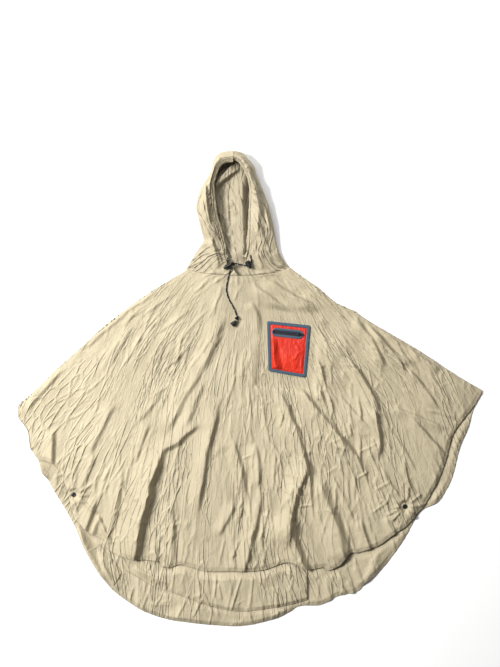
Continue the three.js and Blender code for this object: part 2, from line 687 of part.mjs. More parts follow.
function pocketBorder() {
  const shape = roundedOutline(new THREE.Shape(), -1, 9);
  shape.holes.push(roundedOutline(new THREE.Path(), POCKET_BORDER, 4));
  const z = FRONT_TOP + GAP + POCKET_WALL + GAP;
  return named('pocket_border', flatPiece(shape, TAPE, z), edgeTape);
}

function zipWindow() {
  const shape = stadium(new THREE.Shape(), ZIP.windowLength, ZIP.windowWidth);
  shape.holes.push(stadium(new THREE.Path(), ZIP.slotLength, ZIP.slotWidth));
  const z = FRONT_TOP + 2 * GAP + POCKET_RISE + POCKET_WALL;
  return named('zip_window_tape', placedOnZip(flatPiece(shape, TAPE, z, 8)), edgeTape);
}

function zipTapePiece() {
  const tape = new THREE.BoxGeometry(ZIP.tapeLength, ZIP.tapeWidth, TAPE);
  tape.translate(0, 0, FRONT_TOP + GAP + TAPE / 2);
  return named('zip_tape', placedOnZip(tape), zipTape);
}

// Slider lying on the zip, with a bridge that holds the pull tab's bar
function zipSlider() {
  const base = FRONT_TOP + GAP + TAPE + GAP;
  const middle = ZIP_SLIDER.start + ZIP_SLIDER.length / 2;
  const body = flatPiece(
    stadium(new THREE.Shape(), ZIP_SLIDER.length, ZIP_SLIDER.width), ZIP_SLIDER.height, base, 6);
  body.translate(middle, 0, 0);
  const bridge = new THREE.Shape();
  const low = base + ZIP_SLIDER.height - BRIDGE.foot;
  const under = FRONT_TOP + ZIP_SLIDER.axis + 1;
  const start = ZIP_SLIDER.start + BRIDGE.inset;
  const end = start + BRIDGE.length;
  bridge.moveTo(start, low);
  bridge.lineTo(start, under + BRIDGE.shoulder);
  bridge.lineTo(start + BRIDGE.chamfer, under + BRIDGE.thickness);
  bridge.lineTo(end - BRIDGE.chamfer, under + BRIDGE.thickness);
  bridge.lineTo(end, under + BRIDGE.shoulder);
  bridge.lineTo(end, low);
  bridge.lineTo(end - BRIDGE.leg, low);
  bridge.lineTo(end - BRIDGE.leg, under);
  bridge.lineTo(start + BRIDGE.leg, under);
  bridge.lineTo(start + BRIDGE.leg, low);
  const arch = new THREE.ExtrudeGeometry(bridge, { depth: ZIP_SLIDER.bridgeWidth, bevelEnabled: false });
  arch.rotateX(Math.PI / 2).translate(0, ZIP_SLIDER.bridgeWidth / 2, 0);
  return named('zip_slider', placedOnZip(join(body, arch)), zipMetal);
}

function zipPullTab() {
  const { length, width, bar, windowLength, windowWidth, thickness, rounding } = PULL_TAB;
  const start = ZIP_SLIDER.start + PULL_TAB.start;
  const tip = start + length;
  const shape = new THREE.Shape();
  shape.moveTo(start, -width / 2);
  shape.lineTo(tip - rounding, -width / 2);
  shape.quadraticCurveTo(tip, -width / 2, tip, 0);
  shape.quadraticCurveTo(tip, width / 2, tip - rounding, width / 2);
  shape.lineTo(start, width / 2);
  const window = new THREE.Path();
  window.moveTo(start + bar, -windowWidth / 2);
  window.lineTo(start + bar + windowLength, -windowWidth / 2);
  window.lineTo(start + bar + windowLength, windowWidth / 2);
  window.lineTo(start + bar, windowWidth / 2);
  shape.holes.push(window);
  const hole = new THREE.Path();
  hole.absarc(tip - PULL_TAB.holeFromTip, 0, PULL_TAB.hole, 0, 2 * Math.PI, false);
  shape.holes.push(hole);
  const z = FRONT_TOP + ZIP_SLIDER.axis - thickness / 2;
  return named('zip_pull_tab', placedOnZip(flatPiece(shape, thickness, z, 8)), zipMetal);
}

// Round piece from a half profile of [radius, height] points, with its axis upright
function turned(profile) {
  const lathe = new THREE.LatheGeometry(profile.map(([r, h]) => new THREE.Vector2(r, h)), ROUND);
  return lathe.rotateX(Math.PI / 2);
}

// Snaps: a domed cap on the front panel and its socket between the panels
function snapCap(side, panel) {
  const [x, y] = SNAPS[side];
  const seat = highestUnder([panel], x, y, SNAP_RADIUS) + GAP;
  const cap = turned(SNAP_CAP_PROFILE).translate(x, y, seat);
  return named(`snap_cap_${side}`, solidToGeometry(cap), blackPlastic);
}

function snapSocket(side) {
  const [x, y] = SNAPS[side];
  const socket = turned(SNAP_SOCKET_PROFILE).translate(x, y, WALL + GAP);
  return named(`snap_socket_${side}`, solidToGeometry(socket), blackPlastic);
}

// A lathe repeats its first profile along the seam, and merging closes it
function solidToGeometry(geometry) {
  return geometryOf(solidOf(geometry));
}

// Height of the highest cloth under a round piece
function highestUnder(meshes, x, y, reach) {
  const ray = new THREE.Raycaster();
  let highest = 0;
  for (let i = 0; i < 25; i += 1) {
    const radius = i === 0 ? 0 : reach * (i % 2 ? 1 : 0.5);
    const angle = i * Math.PI / 6;
    ray.set(point(x + radius * Math.cos(angle), y + radius * Math.sin(angle), 200), point(0, 0, -1));
    for (const hit of ray.intersectObjects(meshes)) {
      highest = Math.max(highest, hit.point.z);
    }
  }
  return highest;
}

// Cord locks: a barrel with a bore across it, and the button of its plunger at one end
function lockPlace(geometry, lock) {
  return geometry.rotateZ(lock.turn).translate(lock.x, lock.y, lock.z);
}

function cordLock(side) {
  const lock = LOCKS[side];
  const { radius, length, rim, step } = LOCK;
  const barrel = new THREE.CylinderGeometry(radius, radius, length - 2 * rim, ROUND).rotateZ(Math.PI / 2);
  const ends = new THREE.CylinderGeometry(radius - step, radius - step, length, ROUND);
  const bore = new THREE.CylinderGeometry(LOCK.bore, LOCK.bore, 3 * radius, 12);
  const body = cut(join(barrel, ends.rotateZ(Math.PI / 2)), bore);
  return named(`cord_lock_${side}`, lockPlace(body, lock), blackPlastic);
}

function cordLockButton(side) {
  const lock = LOCKS[side];
  const { buttonRadius, buttonLength, buttonTaper } = LOCK;
  const button = new THREE.CylinderGeometry(buttonRadius - buttonTaper, buttonRadius, buttonLength, ROUND);
  const reach = LOCK.length / 2 + GAP + LOCK.buttonLength / 2;
  const away = side === 'left' ? -1 : 1;
  button.rotateZ(-away * Math.PI / 2).translate(away * reach, 0, 0);
  return named(`cord_lock_button_${side}`, lockPlace(button, lock), blackPlastic);
}

// Bell-shaped cord end, narrow where the cord goes in and hollow at its mouth
function cordEnd() {
  const bell = turned(CORD_END_PROFILE).rotateX(-Math.PI / 2).rotateZ(-Math.PI / 2);
  bell.rotateZ(CORD_END.turn).translate(CORD_END.x, CORD_END.y, CORD_END.z);
  return named('cord_end', solidToGeometry(bell), blackPlastic);
}

function cordTube(name) {
  const route = CORD_ROUTES[name];
  const steps = CORD_STEPS[name];
  const curve = new THREE.CatmullRomCurve3(route.map(([x, y, z]) => point(x, y, z)), false, 'centripetal');
  const section = new THREE.Shape();
  section.absarc(0, 0, CORD_DIAMETER / 2, 0, 2 * Math.PI, false);
  const tube = new THREE.ExtrudeGeometry(section, { steps, extrudePath: curve, curveSegments: 4 });
  return named(name, solidToGeometry(tube), cordYarn);
}

const poncho = new THREE.Group();
const front = frontPanel();
const back = backPanel();
const hoods = [hoodHalf(HOOD.left), hoodHalf(HOOD.right)];
poncho.add(front, back);
poncho.add(backStrip('back_hem_facing_side', FACING_SIDE), backStrip('back_hem_facing', FACING_BAND));
poncho.add(backStrip('stow_pocket', STOW_POCKET));
poncho.add(...hoods, hoodCasing(HOOD.left), hoodCasing(HOOD.right));
poncho.add(pocketPanel(), pocketBorder(), zipWindow(), zipTapePiece(), zipSlider(), zipPullTab());
for (const side of ['left', 'right']) {
  poncho.add(snapCap(side, front), snapSocket(side), cordLock(side), cordLockButton(side));
}
poncho.add(cordTube('drawcord_tail'), cordTube('drawcord_cross'), cordEnd());

export default poncho;
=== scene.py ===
# %% [markdown]
# A hooded rain poncho, laid out flat and face up, dressed in Blender around its CAD model.
# The CAD model brings the sizes, the places and the hard parts. This script brings the looks:
# crumpled cloth, stitching, zip teeth, braided cord and the finish of every surface.
# Everything is in the frame of the CAD model. Tables are in millimetres, and MM turns them into metres.

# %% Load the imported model
import math

import bpy
import numpy as np
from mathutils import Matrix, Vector
from mathutils.bvhtree import BVHTree
from mathutils.geometry import delaunay_2d_cdt
from mathutils.kdtree import KDTree


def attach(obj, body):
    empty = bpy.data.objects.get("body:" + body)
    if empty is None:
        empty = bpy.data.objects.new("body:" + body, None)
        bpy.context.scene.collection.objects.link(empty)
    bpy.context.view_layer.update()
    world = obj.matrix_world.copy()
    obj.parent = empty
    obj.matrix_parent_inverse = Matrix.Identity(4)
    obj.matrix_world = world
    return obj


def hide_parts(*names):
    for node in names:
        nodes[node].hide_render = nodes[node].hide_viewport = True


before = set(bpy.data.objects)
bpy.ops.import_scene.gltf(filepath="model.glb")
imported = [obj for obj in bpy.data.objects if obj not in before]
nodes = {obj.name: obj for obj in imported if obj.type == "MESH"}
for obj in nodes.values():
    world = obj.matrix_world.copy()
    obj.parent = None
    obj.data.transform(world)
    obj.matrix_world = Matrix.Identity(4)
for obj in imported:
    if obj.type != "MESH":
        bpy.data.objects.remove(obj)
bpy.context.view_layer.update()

MM = 0.001
WALL = 1.6
GAP = 0.3
FRONT_TOP = 2 * WALL + GAP
print("CAD nodes:", len(nodes))

# %% [markdown]
# The camera comes first. The photograph looks straight down at the poncho, so the camera does too.
# Its height and lens are chosen so that the picture's width covers 1.55 m of the surface.

# %% Camera
VIEW_WIDTH = 1.55
VIEW_MIDDLE = (0.0, 0.172)
CAMERA_HEIGHT = 3.2
SENSOR = 36.0


def add_camera():
    data = bpy.data.cameras.new("camera")
    data.sensor_fit = "HORIZONTAL"
    data.sensor_width = SENSOR
    data.lens = SENSOR * CAMERA_HEIGHT / VIEW_WIDTH
    data.clip_end = 50
    camera = bpy.data.objects.new("camera", data)
    camera.location = (*VIEW_MIDDLE, CAMERA_HEIGHT)
    bpy.context.collection.objects.link(camera)
    bpy.context.scene.camera = camera
    return camera


camera = add_camera()
print("camera lens in mm:", round(camera.data.lens, 1))

# %% [markdown]
# Helpers for lines and meshes. A stretch of outline is a few points with a smooth curve through them,
# walked in even steps. A mesh is made from points, faces and, where a pattern follows the cloth, a
# second plan of it kept as a UV map.

# %% Lines and meshes
def reach_along(path):
    """Distance along a path at each of its points."""
    return np.concatenate([[0], np.cumsum(np.linalg.norm(np.diff(path, axis=0), axis=1))])


def at_share(path, share):
    """Points of a path at shares of its length, 0 to 1."""
    reach = reach_along(path)
    return np.column_stack([np.interp(np.asarray(share) * reach[-1], reach, c) for c in path.T])


def smooth_path(points, step):
    """Catmull-Rom curve through the points, in even steps of about `step` mm."""
    p = np.array(points, float)
    p = np.vstack([2 * p[0] - p[1], p, 2 * p[-1] - p[-2]])
    k = np.linspace(0, 1, 24, endpoint=False)[:, None]
    stretches = [
        0.5 * (2 * b + (c - a) * k + (2 * a - 5 * b + 4 * c - d) * k**2 + (3 * b - a - 3 * c + d) * k**3)
        for a, b, c, d in zip(p, p[1:], p[2:], p[3:])
    ]
    dense = np.vstack([*stretches, p[-2:-1]])
    return at_share(dense, np.linspace(0, 1, max(3, round(reach_along(dense)[-1] / step) + 1)))


def path_length(path):
    return float(reach_along(path)[-1])


def sideways(path):
    """Unit vectors to the left of a plan path."""
    along = np.gradient(path[:, :2], axis=0)
    along /= np.linalg.norm(along, axis=1)[:, None]
    return np.column_stack([-along[:, 1], along[:, 0]])


def mesh_piece(name, points, faces, material, plan=None):
    """An object from points in mm. plan gives each point its place in the cloth's own pattern, in mm."""
    mesh = bpy.data.meshes.new(name)
    mesh.from_pydata(np.asarray(points, float) * MM, [], faces)
    mesh.materials.append(material)
    mesh.polygons.foreach_set("use_smooth", np.ones(len(mesh.polygons), bool))
    if plan is not None:
        corner = np.empty(len(mesh.loops), np.int32)
        mesh.loops.foreach_get("vertex_index", corner)
        layer = mesh.uv_layers.new(name="plan")
        layer.data.foreach_set("uv", (np.asarray(plan, float)[corner] * MM).ravel())
    mesh.update()
    piece = bpy.data.objects.new(name, mesh)
    bpy.context.collection.objects.link(piece)
    return piece


def grid_faces(rows, columns, closed=False):
    """Quads between the points of a grid, counted row by row, closed or not from last column to first."""
    r, c = np.meshgrid(np.arange(rows - 1), np.arange(columns if closed else columns - 1), indexing="ij")
    d = (c + 1) % columns
    this, following = r * columns, (r + 1) * columns
    quads = np.stack([this + c, this + d, following + d, following + c], axis=-1)
    return quads.reshape(-1, 4).tolist()


def tube_faces(rings, sides, closed=False):
    """Quads round a tube, with a lid at each end unless the last ring joins the first."""
    faces = grid_faces(rings, sides, closed=True)
    last = (rings - 1) * sides
    if closed:
        return faces + [[last + i, last + (i + 1) % sides, (i + 1) % sides, i] for i in range(sides)]
    return faces + [list(range(sides))[::-1], list(range(last, last + sides))]


def turned(faces):
    """The same faces, pointing the other way."""
    return [face[::-1] for face in faces]


def dress(piece, slot, *replaced, body="root"):
    """Ties a finished piece to its body and hides the CAD nodes that it stands for. The slot is not used."""
    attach(piece, body)
    if replaced:
        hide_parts(*replaced)
    print(piece.name, "faces:", len(piece.data.polygons))
    return piece


# %% [markdown]
# Noise and folds are functions of the plan. `drift` is a soft noise without a direction. `crumple` is a
# sheet of flat facets with sharp edges between them, as thin coated nylon takes when it has been packed
# small: random heights on scattered points, joined into triangles, and read by a ray from above.

# %% Noise
LATTICE = 61
DOWN = Vector((0, 0, -1))
CRUMPLE_BOX = ((-1500, 0), (1500, 940))
PLAN_BOX = ((-800, -800), (800, 450))


def drift(x, y, size, seed):
    """Soft noise between -1 and 1 with swellings about `size` mm wide."""
    values = np.random.default_rng(seed).uniform(-1, 1, (LATTICE, LATTICE))
    gx, gy = np.asarray(x) / size, np.asarray(y) / size
    ix, iy = np.floor(gx).astype(int), np.floor(gy).astype(int)
    fx, fy = gx - ix, gy - iy
    fx, fy = fx * fx * (3 - 2 * fx), fy * fy * (3 - 2 * fy)
    left, right, near, far = (i % LATTICE for i in (ix, ix + 1, iy, iy + 1))
    low = values[left, near] * (1 - fx) + values[right, near] * fx
    high = values[left, far] * (1 - fx) + values[right, far] * fx
    return low * (1 - fy) + high * fy


def crumple(x, y, size, seed, box=CRUMPLE_BOX):
    """Flat facets about `size` mm wide, between 0 and 1 high. box is the plan that they are made for."""
    rng = np.random.default_rng(seed)
    (x0, y0), (x1, y1) = box
    sx, sy = (a.ravel() for a in np.meshgrid(np.arange(x0, x1, size), np.arange(y0, y1, size)))
    sx = sx + rng.uniform(-0.45, 0.45, sx.size) * size
    sy = sy + rng.uniform(-0.45, 0.45, sy.size) * size
    height = rng.uniform(0, 1, sx.size)
    found = delaunay_2d_cdt([Vector(p) for p in np.column_stack([sx, sy]).tolist()], [], [], 0, 1e-6)
    corners = [Vector((p.x, p.y, height[origin[0]])) for p, origin in zip(found[0], found[3])]
    tree = BVHTree.FromPolygons(corners, found[2])
    places = zip(np.ravel(x).tolist(), np.ravel(y).tolist())
    hits = (tree.ray_cast(Vector((a, b, 5)), DOWN)[0] for a, b in places)
    return np.array([hit.z if hit else 0.5 for hit in hits]).reshape(np.shape(x))


def smooth(low, high, value):
    """0 at low, 1 at high, whichever of the two is larger."""
    k = np.clip((value - low) / (high - low), 0, 1)
    return k * k * (3 - 2 * k)


def bump(q):
    """1 at the middle of a ridge, 0 at its foot."""
    return np.where(np.abs(q) < 1, (1 - np.minimum(q * q, 1)) ** 2, 0.0)


def crest(q):
    """The same with a creased top."""
    return np.maximum(0, 1 - np.abs(q)) ** 1.3


# %% [markdown]
# A fold is a row of a table: where its ridge starts and ends, how far it bows to the side, its width and
# height, and how much it leans. Cloth that was pushed to one side leans that way, so one side is steeper.

# %% Folds
FOLD_COLUMNS = ("x0", "y0", "x1", "y1", "bow", "width", "height", "lean")
CREASED = 0.7


def fold_height(rows, x, y, creased=CREASED):
    """Sum of the folds in a table. A fold leans when its +X side is steeper than the other."""
    total = np.zeros(len(x))
    for row in rows:
        fold = dict(zip(FOLD_COLUMNS, row))
        dx, dy = fold["x1"] - fold["x0"], fold["y1"] - fold["y0"]
        length = math.hypot(dx, dy)
        along = ((x - fold["x0"]) * dx + (y - fold["y0"]) * dy) / length**2
        aside = ((y - fold["y0"]) * dx - (x - fold["x0"]) * dy) / length
        aside = aside - 4 * fold["bow"] * along * (1 - along)
        near = (along > 0) & (along < 1) & (np.abs(aside) < 2 * fold["width"])
        along, aside = along[near], aside[near]
        q = aside / (fold["width"] * np.where(aside > 0, 1 - fold["lean"], 1 + fold["lean"]))
        ends = smooth(0, 0.25, along) * smooth(0, 0.25, 1 - along)
        total[near] += fold["height"] * ends * ((1 - creased) * bump(q) + creased * crest(q))
    return total


print("fold columns:", FOLD_COLUMNS)

# %% [markdown]
# The finishes come next, because each piece takes one when it is made. What several of them share is a
# shader node group. `creases` draws the network of fine sharp lines that packed nylon keeps, from the
# edges of stretched cells, broken up by noise. `weave` is the crossing threads. Both put out a height or
# a mask, and each material decides what to do with it.

# %% Node helpers
MIX_COLOUR_A, MIX_COLOUR_B, MIX_COLOUR_OUT = 6, 7, 2


def add_node(tree, kind, inputs=None, **settings):
    """A node with its settings made first, then each input linked to a socket or set to a constant."""
    made = tree.nodes.new(kind)
    for name, value in settings.items():
        setattr(made, name, value)
    for socket, value in (inputs or {}).items():
        if isinstance(value, bpy.types.NodeSocket):
            tree.links.new(value, made.inputs[socket])
        else:
            made.inputs[socket].default_value = value
    return made


def shader_group(name, inputs, outputs):
    """A new shader group with float or vector inputs, {name: default}, and float or colour outputs."""
    tree = bpy.data.node_groups.new(name, "ShaderNodeTree")
    for label, value in inputs.items():
        kind = "NodeSocketVector" if value is None else "NodeSocketFloat"
        socket = tree.interface.new_socket(label, in_out="INPUT", socket_type=kind)
        if value is not None:
            socket.default_value = value
    for label in outputs:
        tree.interface.new_socket(label, in_out="OUTPUT", socket_type="NodeSocketFloat")
    return tree, tree.nodes.new("NodeGroupInput"), tree.nodes.new("NodeGroupOutput")


def scaled(tree, vector, scale):
    return add_node(tree, "ShaderNodeMapping", {"Vector": vector, "Scale": scale}).outputs["Vector"]


def maths(tree, operation, *values):
    return add_node(tree, "ShaderNodeMath", dict(enumerate(values)), operation=operation).outputs[0]


def ramp(tree, value, low, high, to_low=0.0, to_high=1.0):
    ends = {"Value": value, "From Min": low, "From Max": high, "To Min": to_low, "To Max": to_high}
    return add_node(tree, "ShaderNodeMapRange", ends, interpolation_type="SMOOTHSTEP").outputs["Result"]


# %% Shared effects
def creases_group():
    """Height of sharp crease lines, 0 to 1, on a plan whose second axis runs along most of them."""
    inputs = {"Plan": None, "Cell size": 0.03, "Stretch": 2.5, "Line width": 0.06, "Broken": 0.5}
    tree, ins, outs = shader_group("creases", inputs, ["Height"])
    wobble = add_node(tree, "ShaderNodeTexNoise", {"Vector": ins.outputs["Plan"], "Scale": 14.0,
                                                   "Detail": 1.0})
    shift = add_node(tree, "ShaderNodeVectorMath", {0: wobble.outputs["Color"], 1: (0.5, 0.5, 0.5)},
                     operation="SUBTRACT")
    bent = add_node(tree, "ShaderNodeVectorMath", {0: shift.outputs[0], 1: (0.004, 0.004, 0.0)},
                    operation="MULTIPLY_ADD")
    tree.links.new(ins.outputs["Plan"], bent.inputs[2])
    split = add_node(tree, "ShaderNodeSeparateXYZ", {"Vector": bent.outputs[0]})
    along = maths(tree, "DIVIDE", split.outputs["Y"], ins.outputs["Stretch"])
    place = add_node(tree, "ShaderNodeCombineXYZ", {"X": split.outputs["X"], "Y": along})
    density = maths(tree, "DIVIDE", 1.0, ins.outputs["Cell size"])
    cells = add_node(tree, "ShaderNodeTexVoronoi", {"Vector": place.outputs[0], "Scale": density},
                     feature="DISTANCE_TO_EDGE", voronoi_dimensions="2D")
    edge = maths(tree, "DIVIDE", cells.outputs["Distance"], ins.outputs["Line width"])
    line = maths(tree, "SUBTRACT", 1.0, maths(tree, "MINIMUM", edge, 1.0))
    patches = add_node(tree, "ShaderNodeTexNoise", {"Vector": place.outputs[0], "Scale": 9.0, "Detail": 3.0})
    low = maths(tree, "MULTIPLY", ins.outputs["Broken"], 0.9)
    kept = ramp(tree, patches.outputs[0], low, maths(tree, "ADD", low, 0.15))
    tree.links.new(maths(tree, "MULTIPLY", line, kept), outs.inputs["Height"])
    return tree


def weave_group():
    """Crossing threads on object coordinates: Height 0 to 1."""
    tree, ins, outs = shader_group("weave", {"Place": None, "Threads per metre": 1600.0}, ["Height"])
    split = add_node(tree, "ShaderNodeSeparateXYZ", {"Vector": ins.outputs["Place"]})
    turn = maths(tree, "MULTIPLY", ins.outputs["Threads per metre"], math.pi)
    warp = maths(tree, "SINE", maths(tree, "MULTIPLY", split.outputs["X"], turn))
    weft = maths(tree, "SINE", maths(tree, "MULTIPLY", split.outputs["Y"], turn))
    crossed = maths(tree, "MULTIPLY", warp, weft)
    tree.links.new(maths(tree, "MULTIPLY_ADD", crossed, 0.5, 0.5), outs.inputs["Height"])
    return tree


CREASES = creases_group()
WEAVE = weave_group()


def group_node(tree, group, inputs):
    return add_node(tree, "ShaderNodeGroup", inputs, node_tree=group).outputs[0]


def new_material(name, **sockets):
    """A material with one Principled shader, its constant sockets set directly."""
    material = bpy.data.materials.new(name)
    material.use_nodes = True
    shader = material.node_tree.nodes["Principled BSDF"]
    for socket, value in sockets.items():
        shader.inputs[socket.replace("_", " ")].default_value = value
    return material, material.node_tree, shader


def colour_between(tree, mask, dark, light):
    inputs = {"Factor": mask, MIX_COLOUR_A: (*dark, 1), MIX_COLOUR_B: (*light, 1)}
    return add_node(tree, "ShaderNodeMix", inputs, data_type="RGBA").outputs[MIX_COLOUR_OUT]


def bumped(tree, height, distance, strength=1.0, normal=None):
    inputs = {"Height": height, "Distance": distance, "Strength": strength}
    if normal is not None:
        inputs["Normal"] = normal
    return add_node(tree, "ShaderNodeBump", inputs).outputs["Normal"]


print("shared effects:", CREASES.name, WEAVE.name)

# %% [markdown]
# The cloth of the poncho is thin coated nylon, dull with a faint sheen. Its relief is four heights, one on
# the other: soft waves, two networks of creases, fine crinkles and the threads. The finish of the shell is
# calmer near the neck, where the cloth hangs tight. The hood has darker copies of the same nylon, with the
# same relief: painted shade, a little darker outside and on the channels, where the hood's walls face the
# lamp, and darker still on the inside seen through the opening, which is also duller.

# %% Coated nylon
SOFT_RELIEF, TINY_RELIEF, THREAD_RELIEF = 0.0035, 0.0017, 0.00004


def nylon(name, light, dark, crease_depth=0.0021, roughness=0.58, calm=None):
    """Thin coated cloth: two networks of creases, a soft mottling and the weave. The relief fades in
    between the two distances in calm, which are metres along the plan."""
    material, tree, shader = new_material(name, Sheen_Weight=0.06, Sheen_Roughness=0.4)
    shader.inputs["Specular IOR Level"].default_value = 0.3
    plan = add_node(tree, "ShaderNodeUVMap", uv_map="plan").outputs["UV"]
    place = add_node(tree, "ShaderNodeTexCoord").outputs["Object"]
    wide = group_node(tree, CREASES, {"Plan": plan, "Cell size": 0.034, "Stretch": 4.6, "Line width": 0.12,
                                      "Broken": 0.50})
    fine = group_node(tree, CREASES, {"Plan": scaled(tree, plan, (1.0, -1.0, 1.0)), "Cell size": 0.019,
                                      "Stretch": 3.6, "Line width": 0.16, "Broken": 0.50})
    woven = group_node(tree, WEAVE, {"Place": place})
    mottle = add_node(tree, "ShaderNodeTexNoise", {"Vector": place, "Scale": 9.0, "Detail": 6.0})
    tree.links.new(colour_between(tree, ramp(tree, mottle.outputs[0], 0.3, 0.7), dark, light),
                   shader.inputs["Base Color"])
    tree.links.new(ramp(tree, mottle.outputs[0], 0.25, 0.75, roughness + 0.06, roughness - 0.06),
                   shader.inputs["Roughness"])
    waves = {"Vector": scaled(tree, plan, (38.0, 17.0, 1.0)), "Scale": 1.0, "Detail": 3.0, "Distortion": 0.6}
    soft = add_node(tree, "ShaderNodeTexNoise", waves)
    relief = [soft.outputs[0], wide, fine]
    if calm is not None:
        away = add_node(tree, "ShaderNodeSeparateXYZ", {"Vector": plan}).outputs["Y"]
        awake = ramp(tree, away, *calm, 0.2, 1.0)
        relief = [maths(tree, "MULTIPLY", height, awake) for height in relief]
    normal = bumped(tree, relief[0], SOFT_RELIEF)
    normal = bumped(tree, relief[1], crease_depth, normal=normal)
    normal = bumped(tree, relief[2], 1.1 * crease_depth, normal=normal)
    crinkles = {"Vector": scaled(tree, plan, (230.0, 110.0, 1.0)), "Scale": 1.0, "Detail": 2.0,
                "Distortion": 1.2}
    tiny = add_node(tree, "ShaderNodeTexNoise", crinkles)
    normal = bumped(tree, tiny.outputs[0], TINY_RELIEF, normal=normal)
    tree.links.new(bumped(tree, woven, THREAD_RELIEF, 0.5, normal), shader.inputs["Normal"])
    return material


SHELL = nylon("shell_nylon", (0.44, 0.38, 0.257), (0.40, 0.343, 0.23), calm=(0.14, 0.5))
# Painted shade: the hood's two copies are darker than the shell's nylon, for how the lamp falls on the hood.
HOOD_SHADED_NYLON = nylon("hood_painted_shade_nylon", (0.39, 0.336, 0.227), (0.355, 0.304, 0.205), 0.0022)
HOOD_INSIDE_SHADED_NYLON = nylon("hood_inside_painted_shade_nylon", (0.33, 0.285, 0.195), (0.30, 0.257, 0.176), 0.0022, 0.65)
POCKET_RED = nylon("pocket_nylon", (0.60, 0.030, 0.010), (0.50, 0.020, 0.007), 0.0004, 0.45)
print("cloth:", SHELL.name, HOOD_INSIDE_SHADED_NYLON.name, POCKET_RED.name)


# %% [markdown]
# The other finishes are plain: one fine grain drives colour, roughness and relief together. Only the
# braid of the cord has a pattern of its own, drawn from its place along and round the cord.

# %% Tape, thread, metal, plastic and braid
def plain_finish(name, light, dark, scale, relief, metallic=0.0, roughness=0.5, **sockets):
    """A moulded, bonded or painted surface: fine grain in colour, roughness and relief."""
    material, tree, shader = new_material(name, Metallic=metallic, **sockets)
    place = add_node(tree, "ShaderNodeTexCoord").outputs["Object"]
    grain = add_node(tree, "ShaderNodeTexNoise", {"Vector": place, "Scale": scale, "Detail": 5.0})
    tree.links.new(colour_between(tree, grain.outputs[0], dark, light), shader.inputs["Base Color"])
    tree.links.new(ramp(tree, grain.outputs[0], 0.3, 0.7, roughness - 0.08, roughness + 0.08),
                   shader.inputs["Roughness"])
    tree.links.new(bumped(tree, grain.outputs[0], relief), shader.inputs["Normal"])
    return material


TAPE_BLUE = plain_finish("slate_tape", (0.042, 0.082, 0.118), (0.027, 0.060, 0.09), 300.0, 0.0003,
                         roughness=0.55)
ZIP_BLACK = plain_finish("zip_tape_black", (0.012, 0.016, 0.03), (0.004, 0.006, 0.012), 900.0, 0.0002,
                         roughness=0.6)
ZIP_METAL = plain_finish("painted_metal", (0.03, 0.034, 0.045), (0.012, 0.014, 0.02), 700.0, 0.00005,
                         metallic=0.5, roughness=0.35)
PLASTIC = plain_finish("black_plastic", (0.009, 0.0095, 0.011), (0.004, 0.0045, 0.005), 500.0, 0.0001,
                       roughness=0.32)
THREAD = plain_finish("beige_thread", (0.36, 0.30, 0.20), (0.28, 0.23, 0.15), 2000.0, 0.0001,
                      roughness=0.8)
BLUE_THREAD = plain_finish("blue_thread", (0.05, 0.10, 0.15), (0.03, 0.06, 0.1), 2000.0, 0.0001,
                           roughness=0.8)


BRAID = {"round": 1500.0, "along": 2600.0, "tracer_pitch": 0.019, "tracer_width": 0.0063}


def braid():
    """Black braided cord: diagonal strands, with a small pale tracer that comes round again and again."""
    material, tree, shader = new_material("braided_cord", Roughness=0.8)
    shader.inputs["Specular IOR Level"].default_value = 0.2
    plan = add_node(tree, "ShaderNodeUVMap", uv_map="plan").outputs["UV"]
    split = add_node(tree, "ShaderNodeSeparateXYZ", {"Vector": plan})
    length, around = split.outputs["X"], split.outputs["Y"]
    strands = [maths(tree, "SINE", maths(tree, "MULTIPLY_ADD", around, side * BRAID["round"], maths(
        tree, "MULTIPLY", length, BRAID["along"]))) for side in (1, -1)]
    height = maths(tree, "MAXIMUM", *strands)
    turn = maths(tree, "FRACT", maths(tree, "MULTIPLY", length, 1 / BRAID["tracer_pitch"]))
    step = maths(tree, "FRACT", maths(tree, "MULTIPLY", around, 1 / BRAID["tracer_width"]))
    here = [maths(tree, "LESS_THAN", turn, 0.18), maths(tree, "LESS_THAN", step, 0.5)]
    tracer = maths(tree, "MULTIPLY", *here)
    tree.links.new(colour_between(tree, tracer, (0.006, 0.006, 0.007), (0.32, 0.33, 0.36)),
                   shader.inputs["Base Color"])
    tree.links.new(bumped(tree, height, 0.0004), shader.inputs["Normal"])
    return material


CORD = braid()
print("small finishes made:", len(bpy.data.materials))

# %% [markdown]
# The drawcord is a limp 4 mm braid. Its tail leaves the left channel of the hood, runs through the left
# cord lock and lies down the front to its bell-shaped end. The cross stretch runs from that lock through
# the right one and ends in a free cut end. Both follow the route of the CAD model, as tubes with a plan
# on them, so that the braid turns with the cord.

